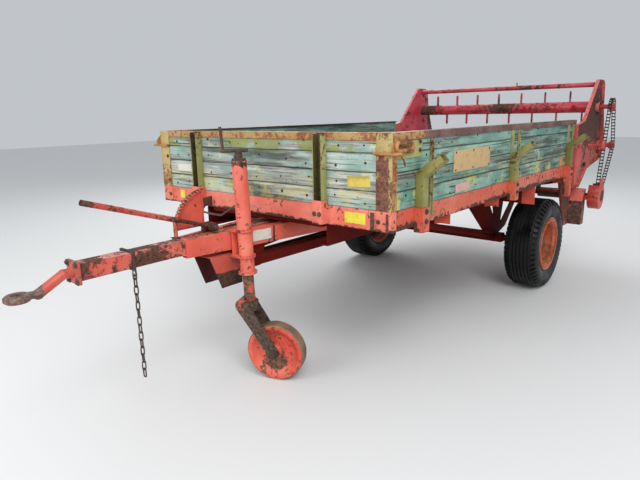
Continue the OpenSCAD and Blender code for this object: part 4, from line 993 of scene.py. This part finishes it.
# Fasteners, one model of each kind
boltLook = {"radius": 0.0105, "height": 0.008, "washer": 0.0165, "washerThick": 0.0025, "thread": 0.006,
            "threadLength": 0.008, "threadPlace": 0.0145, "headCrown": (0.002, 0.0012),
            "threadCrown": (0.0015, 0.001)}
nailLook = {"radius": 0.0062, "height": 0.003, "place": 0.0008, "crown": (0.002, 0.001),
            "rows": 4, "firstRow": 0.0485, "pitch": 0.1,
            "front": (-0.83, -0.67, -0.45, -0.22, 0.03, 0.24, 0.42, 0.66, 0.86),
            "side": (0.14, 0.34, 0.47, 0.62, 0.98, 1.34, 1.52, 1.66, 1.76, 2.12, 2.34, 2.58, 2.86, 3.0, 3.12),
            "stickerRow": 1, "stickers": ((0.795, 0.09), (-0.745, 0.1)),
            "plates": {0: (0.7, 0.95), 2: (0.6, 1.3)}}


def fastener(thread=False):
    thick, height = boltLook["washerThick"], boltLook["height"]
    washer = addDrum(boltLook["washer"], thick, 12, (0, 0, thick / 2))
    head = addDrum(boltLook["radius"], height, 6, (0, 0, thick + height / 2))
    crown(head, *boltLook["headCrown"])
    parts = [washer, head]
    if thread:
        stub = addDrum(boltLook["thread"], boltLook["threadLength"], 8, (0, 0, boltLook["threadPlace"]))
        crown(stub, *boltLook["threadCrown"])
        parts.append(stub)
    return joined(parts)


def nailHead():
    head = addDrum(nailLook["radius"], nailLook["height"], 8, (0, 0, nailLook["place"]))
    crown(head, *nailLook["crown"])
    return head


def boltSet(name, spots, body="chassis", finish=darkRust, thread=False):
    bolts = placed(fastener(thread), [facing(at(*spot[0]), *spot[1:]) for spot in spots])
    smoothBy(bolts, 25)
    return finishPiece(bolts, name, finish, body)


def boltRows(side, out, places, heights, spin, *size):
    return [((-x, side * out, z), (0, side, 0), spin(x, z), *size) for x in places for z in heights]


sideBolts = []
for s in (-1, 1):                                           # on the stakes, the straps and the corner latches
    sideBolts += boltRows(s, 1.061, (0.26, 1.59, 2.93), (0.985, 1.04), lambda x, z: 0.3 * x)
    sideBolts += boltRows(s, 1.010, (0.395, 1.705, 3.06), (1.115, 1.215, 1.315, 1.405),
                          lambda x, z: 0.7 * z, 0.7)
    sideBolts += boltRows(s, 1.010, (0.07, 0.262), (1.37, 1.415), lambda x, z: z, 0.75)
boltSet("sideBolts", sideBolts)
frontBolts = [((0.006, y, z), (1, 0, 0), y, 0.8) for y in (-0.93, 0.925) for z in (1.01, 1.115, 1.29)]
frontBolts += [((0.057, y + d, 1.02), (1, 0, 0), y, 0.9) for y in postPlaces for d in (-0.018, 0.018)]
frontBolts += [((1.205, y, 0.86 + d), (1, 0, 0), y, 1.0) for y in (-0.043, 0.043) for d in (-0.043, 0.043)]
boltSet("frontBolts", frontBolts)
boltSet("feedBoxBolts", [((-3.40, y, z), (1, 0, 0), z, 0.9) for y in (0.956, 1.044) for z in (0.452, 0.65)])
boltSet("quadrantNut", [((0.365, 0.022, 0.935), (0, 1, 0), 0.2, 1.5)], thread=True)
nailSpots = []
for row in range(nailLook["rows"]):                         # none behind the stickers and the side plate
    height = wallBottom + nailLook["firstRow"] + nailLook["pitch"] * row
    for y in nailLook["front"]:
        spot = at(0.0004, y + random.uniform(-0.03, 0.03), height + random.uniform(-0.022, 0.022))
        size = random.uniform(0.8, 1.3)
        clear = all(abs(spot.y - originY - place) > reach for place, reach in nailLook["stickers"])
        if clear or row != nailLook["stickerRow"]:
            nailSpots.append(facing(spot, (1, 0, 0), 0, size))
    low, high = nailLook["plates"].get(row, (0, 0))
    for s in (-1, 1):
        for x in nailLook["side"]:
            spot = at(-x + random.uniform(-0.02, 0.02), s * 1.0054, height + random.uniform(-0.025, 0.025))
            size = random.uniform(0.7, 1.2)
            if not low < x < high:
                nailSpots.append(facing(spot, (0, s, 0), 0, size))
finishPiece(placed(nailHead(), nailSpots), "wallNails", underShadow, "chassis")
print("fasteners done")


# Blank plates and stickers: thin, with eased corners, and the torn one curls forward at its top
def thinPlate(width, height, thick, corner=0.004):
    obj = cube((0, 0, thick / 2), (width, height, thick))
    editAll(obj)
    bpy.ops.mesh.subdivide(number_cuts=5)
    leaveEdit()
    bevelEdges(obj, min(corner, thick * 0.45), 2, 60)
    smoothBy(obj, 30)
    return obj


def wallSheet(name, finish, centre, normal, width, height, thick=0.0012, tilt=0.0):
    obj = thinPlate(width, height, thick)
    obj.data.transform(facing(at(*centre), normal, tilt))
    return finishPiece(obj, name, finish, "chassis")


wallSheet("sillSticker", yellowFilm, (0.0003, 0.77, 1.014), (1, 0, 0), 0.14, 0.061)
wallSheet("farSillSticker", yellowFilm, (0.0003, -0.79, 1.02), (1, 0, 0), 0.05, 0.058)
wallSheet("postSticker", paleFilm, (0.0006, -0.745, 1.214), (1, 0, 0), 0.165, 0.05)
wallSheet("armSticker", paleFilm, (0.097, 0.1345, 0.856), (0.1512, 0.9885, 0), 0.135, 0.066)
wallSheet("sideSticker", pinkFilm, (-0.81, 1.0056, 1.11), (0, 1, 0), 0.2, 0.05, 0.0012, math.radians(1.5))
wallSheet("sidePlate", beigePlate, (-0.93, 1.0056, 1.275), (0, 1, 0), 0.52, 0.13, 0.006)
plateNails = [facing(at(x, 1.0118, z), (0, 1, 0)) for x in (-1.17, -0.93, -0.69) for z in (1.222, 1.328)]
finishPiece(placed(nailHead(), plateNails), "plateNails", underShadow, "chassis")
backPlate = {"x": (-1.59, -2.93), "y": 1.004, "low": 1.225, "width": 0.058, "thick": 0.005}
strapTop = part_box("side_straps")[1].z
backHeight = (backPlate["low"] + strapTop) / 2
backSpots = [facing(at(x, s * backPlate["y"], backHeight), (0, s, 0)) for x in backPlate["x"] for s in (-1, 1)]
backProto = thinPlate(backPlate["width"], strapTop - backPlate["low"], backPlate["thick"])
finishPiece(placed(backProto, backSpots), "stakeBackPlates", strawPaint, "chassis")
# Painted shade: a thin near-black strip on the drawbar arm stands in for the shade in a groove
wallSheet("armGroovePaintedShade", underShadow, (0.0085, 0.1484, 0.852), (0.1512, 0.9885, 0), 0.011, 0.1, 0.0015)
seamHeight = wallBottom - 0.054
for name, y, width in (("cornerSeamInner", 0.887, 0.022), ("cornerSeamOuter", 0.982, 0.016)):
    wallSheet(name, browned, (0.0062, y, seamHeight), (1, 0, 0), width, 0.088)
tornLook = {"size": (0.15, 0.07, 0.0012), "foldFrom": 0.006, "foldReach": 0.03, "out": 0.016, "down": 0.012,
            "place": (0.0008, 0.795, 1.22), "tilt": math.radians(3)}
torn = thinPlate(*tornLook["size"])
for vertex in torn.data.vertices:
    lift = max(0.0, vertex.co.y - tornLook["foldFrom"]) / tornLook["foldReach"]
    vertex.co.z += tornLook["out"] * lift * lift
    vertex.co.y -= tornLook["down"] * lift * lift
torn.data.transform(facing(at(*tornLook["place"]), (1, 0, 0), tornLook["tilt"]))
finishPiece(torn, "tornSticker", agedFilm, "chassis")
print("plates done")

# A bent rod and an ear for a hook in front of the front sill
rodLook = {"radius": 0.007, "points": [(0.0, -0.50, 0.985), (0.05, -0.50, 0.955), (0.06, -0.49, 0.935),
           (0.075, -0.46, 0.93), (0.13, -0.22, 0.943), (0.135, -0.19, 0.95), (0.125, -0.17, 0.965),
           (0.02, -0.115, 1.035), (0.0, -0.105, 1.04)]}
sillRod = bentRod([at(*spot) for spot in rodLook["points"]], rodLook["radius"])
finishPiece(sillRod, "sillRod", darkRust, "chassis")
sillEarLook = {"place": (0.036, -0.46, 1.0), "size": (0.075, 0.008, 0.07), "taper": (1, 1, 0.45),
               "taperAt": (0.07, -0.46, 1.02), "tip": (0.018, 0.012, 0.012)}
sillEar = cube(at(*sillEarLook["place"]), sillEarLook["size"])
pickFaces(sillEar, lambda spot, normal: normal.x > 0.9)
bpy.ops.transform.resize(value=sillEarLook["taper"], center_override=at(*sillEarLook["taperAt"]))
bpy.ops.mesh.extrude_region_move(TRANSFORM_OT_translate={"value": sillEarLook["tip"]})
leaveEdit()
bevelEdges(sillEar, 0.002)
finishPiece(sillEar, "sillEar", darkRust, "chassis")

# Corner handles: a thick open loop on each corner latch with a pin hanging from it
loopLook = {"x": -0.075, "y": 1.031, "z": 1.4, "half": 0.02, "bar": 0.0105, "stretch": 0.058, "uneven": 0.12,
            "waves": 31, "pinY": 1.03, "pinBar": 0.005,
            "pin": ((-0.03, 1.39), (-0.035, 1.37), (-0.05, 1.345), (-0.075, 1.325), (-0.08, 1.3))}
for side, name in ((-1, "cornerHandleRight"), (1, "cornerHandleLeft")):
    loop = ring(loopLook["half"], loopLook["bar"], 20, 10)
    for edge in (-1, 1):
        pullPoints(loop, lambda spot: spot.x * edge > 0.0005, (edge * loopLook["stretch"], 0, 0))
    for vertex in loop.data.vertices:                       # forged: a little uneven
        vertex.co.z *= 1.0 + loopLook["uneven"] * math.sin(loopLook["waves"] * vertex.co.x)
    loop.data.transform(Matrix.Translation(at(loopLook["x"], side * loopLook["y"], loopLook["z"])))
    pin = bentRod([at(x, side * loopLook["pinY"], z) for x, z in loopLook["pin"]], loopLook["pinBar"])
    handle = joined([loop, pin])
    outward(handle)
    smoothBy(handle, 50)
    finishPiece(handle, name, latchPaint, "chassis")
print("rods done")

# Roller chain of the beater drive: waisted plates with rollers and pins between them
chainLook = {"pitch": 0.03175, "side": 1.15, "plate": 0.020, "waist": 0.003, "thick": 0.003, "inner": 0.0135,
             "outer": 0.0165, "roller": 0.0062, "rollerWidth": 0.024, "pin": 0.0042, "pinEnds": 0.0045,
             "steps": 48, "wheels": [(*upperAxis, 15), (-3.590, 0.708, 12), (*lowerAxis, 12)]}


def chainRoute():
    centres = [at(x, chainLook["side"], z) for x, z, teeth in chainLook["wheels"]]
    radii = [chainLook["pitch"] / (2 * math.sin(math.pi / teeth)) for x, z, teeth in chainLook["wheels"]]
    angles = []
    for i in range(3):
        gap = centres[(i + 1) % 3] - centres[i]
        slope = math.asin((radii[(i + 1) % 3] - radii[i]) / gap.length)
        angles.append(math.atan2(gap.z, gap.x) + math.pi / 2 + slope)
    points = []
    for i in range(3):
        sweep = (angles[i - 1] - angles[i]) % (2 * math.pi)
        for n in range(chainLook["steps"] + 1):
            angle = angles[i - 1] - sweep * n / chainLook["steps"]
            points.append(centres[i] + radii[i] * Vector((math.cos(angle), 0, math.sin(angle))))
    return points


def evenSpots(points, pitch):
    ring = points + [points[0]]
    lengths = [(b - a).length for a, b in zip(ring, ring[1:])]
    count = 2 * int(sum(lengths) / pitch / 2)
    spots, n, passed = [], 0, 0.0
    for k in range(count):
        target = k * sum(lengths) / count
        while passed + lengths[n] < target:
            passed += lengths[n]
            n += 1
        spots.append(ring[n].lerp(ring[n + 1], (target - passed) / max(lengths[n], 1e-9)))
    return spots


def chainLink(offset):
    parts = []
    half = chainLook["pitch"] / 2
    for side in (-1, 1):
        plate = addDrum(chainLook["plate"] / 2, chainLook["thick"], 12, (0, 0, side * offset))
        pullPoints(plate, lambda spot: spot.x > 0.001, (half, 0, 0))
        pullPoints(plate, lambda spot: spot.x < -0.001, (-half, 0, 0))
        for edge in (-1, 1):
            pullPoints(plate, lambda spot: abs(spot.x) < 0.001 and spot.y * edge > 0,
                       (0, -edge * chainLook["waist"], 0))
        parts.append(plate)
    parts.append(addDrum(chainLook["roller"], chainLook["rollerWidth"], 8, (-half, 0, 0)))
    parts.append(addDrum(chainLook["pin"], 2 * chainLook["outer"] + chainLook["pinEnds"], 8, (-half, 0, 0)))
    return joined(parts)


def linkMatrix(first, second):
    return lengthwise((first + second) / 2, (second - first).normalized(), Vector((0, 1, 0)))


joints = evenSpots(chainRoute(), chainLook["pitch"])
places = [linkMatrix(a, b) for a, b in zip(joints, joints[1:] + joints[:1])]
driveChain = joined([placed(chainLink(chainLook["inner"]), places[0::2]),
                     placed(chainLink(chainLook["outer"]), places[1::2])])
smoothBy(driveChain, 35)
finishPiece(driveChain, "driveChainLinks", driveSteel, "chassis", ["drive_chain"])
print("drive chain:", len(joints), "links")

# Hanging chain: a band round the drawbar, a hook and oval links turned a quarter each
hangLook = {"count": 14, "pitch": 0.042, "bar": 0.004, "half": 0.010, "stretch": 0.015, "x": 0.918,
            "y": 0.052, "top": 0.786, "bandZ": 0.86, "band": (0.016, 0.124, 0.104), "bandWall": 0.012,
            "hook": ((0.045, 0.815), (0.056, 0.812), (0.066, 0.80), (0.062, 0.782), (0.05, 0.777), (0.042, 0.788)),
            "hookBar": 0.0045}
oval = ring(hangLook["half"], hangLook["bar"], 12, 6)
for edge in (-1, 1):
    pullPoints(oval, lambda spot: spot.z * edge > 0.0005, (0, 0, edge * hangLook["stretch"]))
ovalPlaces = [Matrix.Translation(at(hangLook["x"], hangLook["y"], hangLook["top"] - i * hangLook["pitch"]))
              @ Matrix.Rotation(math.pi / 2 * (i % 2) + math.radians(8 * math.sin(2.1 * i)), 4, "Z")
              for i in range(hangLook["count"])]
hanging = placed(oval, ovalPlaces)
band = cube(at(hangLook["x"], 0, hangLook["bandZ"]), hangLook["band"])
pickFaces(band, lambda spot, normal: abs(normal.x) > 0.9)
bpy.ops.mesh.inset(thickness=hangLook["bandWall"])
bpy.ops.mesh.delete(type="FACE")
bpy.ops.mesh.select_mode(type="EDGE")
bpy.ops.mesh.select_non_manifold()
bpy.ops.mesh.bridge_edge_loops()
leaveEdit()
bevelEdges(band, 0.003, 2, 50)
hook = bentRod([at(hangLook["x"], y, z) for y, z in hangLook["hook"]], hangLook["hookBar"])
hanging = joined([hanging, band, hook])
outward(hanging)
smoothBy(hanging, 50)
finishPiece(hanging, "hangingChain", chainSteel, "chassis", ["safety_chain"])
print("hanging chain done")

# Bearing ears on the rear frames, two for each beater's bearing
earLook = {"radius": 0.021, "thick": 0.018, "foot": 0.016, "reach": 0.068, "side": 1.016, "bolt": 0.009,
           "places": [(*upperAxis, 62), (*lowerAxis, 74)]}
earSpots, earBolts = [], []
for s in (-1, 1):
    for x, z, lean in earLook["places"]:
        for half in (0, 180):
            angle = math.radians(lean + half)
            out = Vector((math.cos(angle), 0, math.sin(angle)))
            spot = Vector((x, s * earLook["side"], z)) + earLook["reach"] * out
            across = Vector((0, s, 0))
            earSpots.append(lengthwise(at(*spot), out, across))
            earBolts.append((tuple(spot + earLook["bolt"] * across), (0, s, 0), angle, 1.0))
ear = addDrum(earLook["radius"], earLook["thick"], 16)
pullPoints(ear, lambda spot: spot.x < -0.001, (-earLook["foot"], 0, 0))
bevelEdges(ear, 0.003, 2, 50)
finishPiece(placed(ear, earSpots), "bearingEars", browned, "chassis")
boltSet("bearingBolts", earBolts, thread=True)
print("bearings done")


# Wheel nuts and a grease cap on each hub
hubLook = {"nutCircle": 0.105, "nuts": 6, "firstNut": 0.3, "nutSink": 0.0022, "nutSize": 1.35, "cap": 0.043,
           "capDepth": 0.042, "capWall": 0.008, "capHollow": 0.030, "capPlace": 0.0402,
           "rings": [(0.2095, 0.1285, 0.0045), (0.1895, 0.098, 0.0035), (0.1895, 0.03, 0.003)]}


def hubFittings(side, nodeName, body):
    low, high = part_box(nodeName)
    centre = (low + high) / 2
    spots = []
    for n in range(hubLook["nuts"]):
        angle = 2 * math.pi * n / hubLook["nuts"] + hubLook["firstNut"]
        ahead, up = hubLook["nutCircle"] * math.cos(angle), hubLook["nutCircle"] * math.sin(angle)
        spot = centre + Vector((ahead, -side * hubLook["nutSink"], up))
        spots.append(facing(spot, (0, side, 0), angle, hubLook["nutSize"]))
    nuts = placed(fastener(True), spots)
    cap = addDrum(hubLook["cap"], hubLook["capDepth"], 28, (0, 0, hubLook["capDepth"] / 2))
    pickFaces(cap, lambda spot, normal: normal.z < -0.9)
    bpy.ops.mesh.inset(thickness=hubLook["capWall"])
    bpy.ops.mesh.extrude_region_move(TRANSFORM_OT_translate={"value": (0, 0, hubLook["capHollow"])})
    leaveEdit()
    bevelEdges(cap, 0.004, 3, 50)
    cap.data.transform(facing(centre + Vector((0, side * hubLook["capPlace"], 0)), (0, side, 0)))
    lip = joined([ring(radius, bar, 56, 8, (centre.x, centre.y + side * offset, centre.z))
                  for radius, offset, bar in hubLook["rings"]])
    smoothBy(lip, 50)
    finishPiece(lip, nodeName + "Lip", rimPaint, body)
    fittings = joined([nuts, cap])
    smoothBy(fittings, 30)
    finishPiece(fittings, nodeName + "Fittings", rustySteel, body)


hubFittings(1, "rim_left", "wheel_left")
hubFittings(-1, "rim_right", "wheel_right")
casterLook = {"axis": (0.920, 0.391, -0.032), "near": 0.05, "spin": 0.4, "size": 1.7}
casterAxis = Vector(casterLook["axis"]).normalized()
offsets = [vertex.co - casterHub for vertex in frame["nodes"]["caster_fork"].data.vertices]
nearPin = [v for v in offsets if (v - v.dot(casterAxis) * casterAxis).length < casterLook["near"]]
casterSpots = []
for s in (-1, 1):                                           # each nut sits on its fork plate
    reach = max(s * v.dot(casterAxis) for v in nearPin)
    casterSpots.append(facing(casterHub + s * reach * casterAxis, s * casterAxis, casterLook["spin"],
                              casterLook["size"]))
casterNuts = placed(fastener(True), casterSpots)
smoothBy(casterNuts, 25)
finishPiece(casterNuts, "casterNuts", darkRust, "caster")
print("hubs done")

# Floor
bpy.ops.mesh.primitive_plane_add(size=studioLook["floorSize"], location=(0, 0, studioLook["floorHeight"]))
floor = bpy.context.object
floor.name = "studioFloor"
floorMaterial, _, floorShader = newMaterial("floor")
floorShader.inputs["Base Color"].default_value = studioLook["floor"]
floorShader.inputs["Roughness"].default_value = studioLook["floorRough"]
floor.data.materials.append(floorMaterial)

print("scene done")
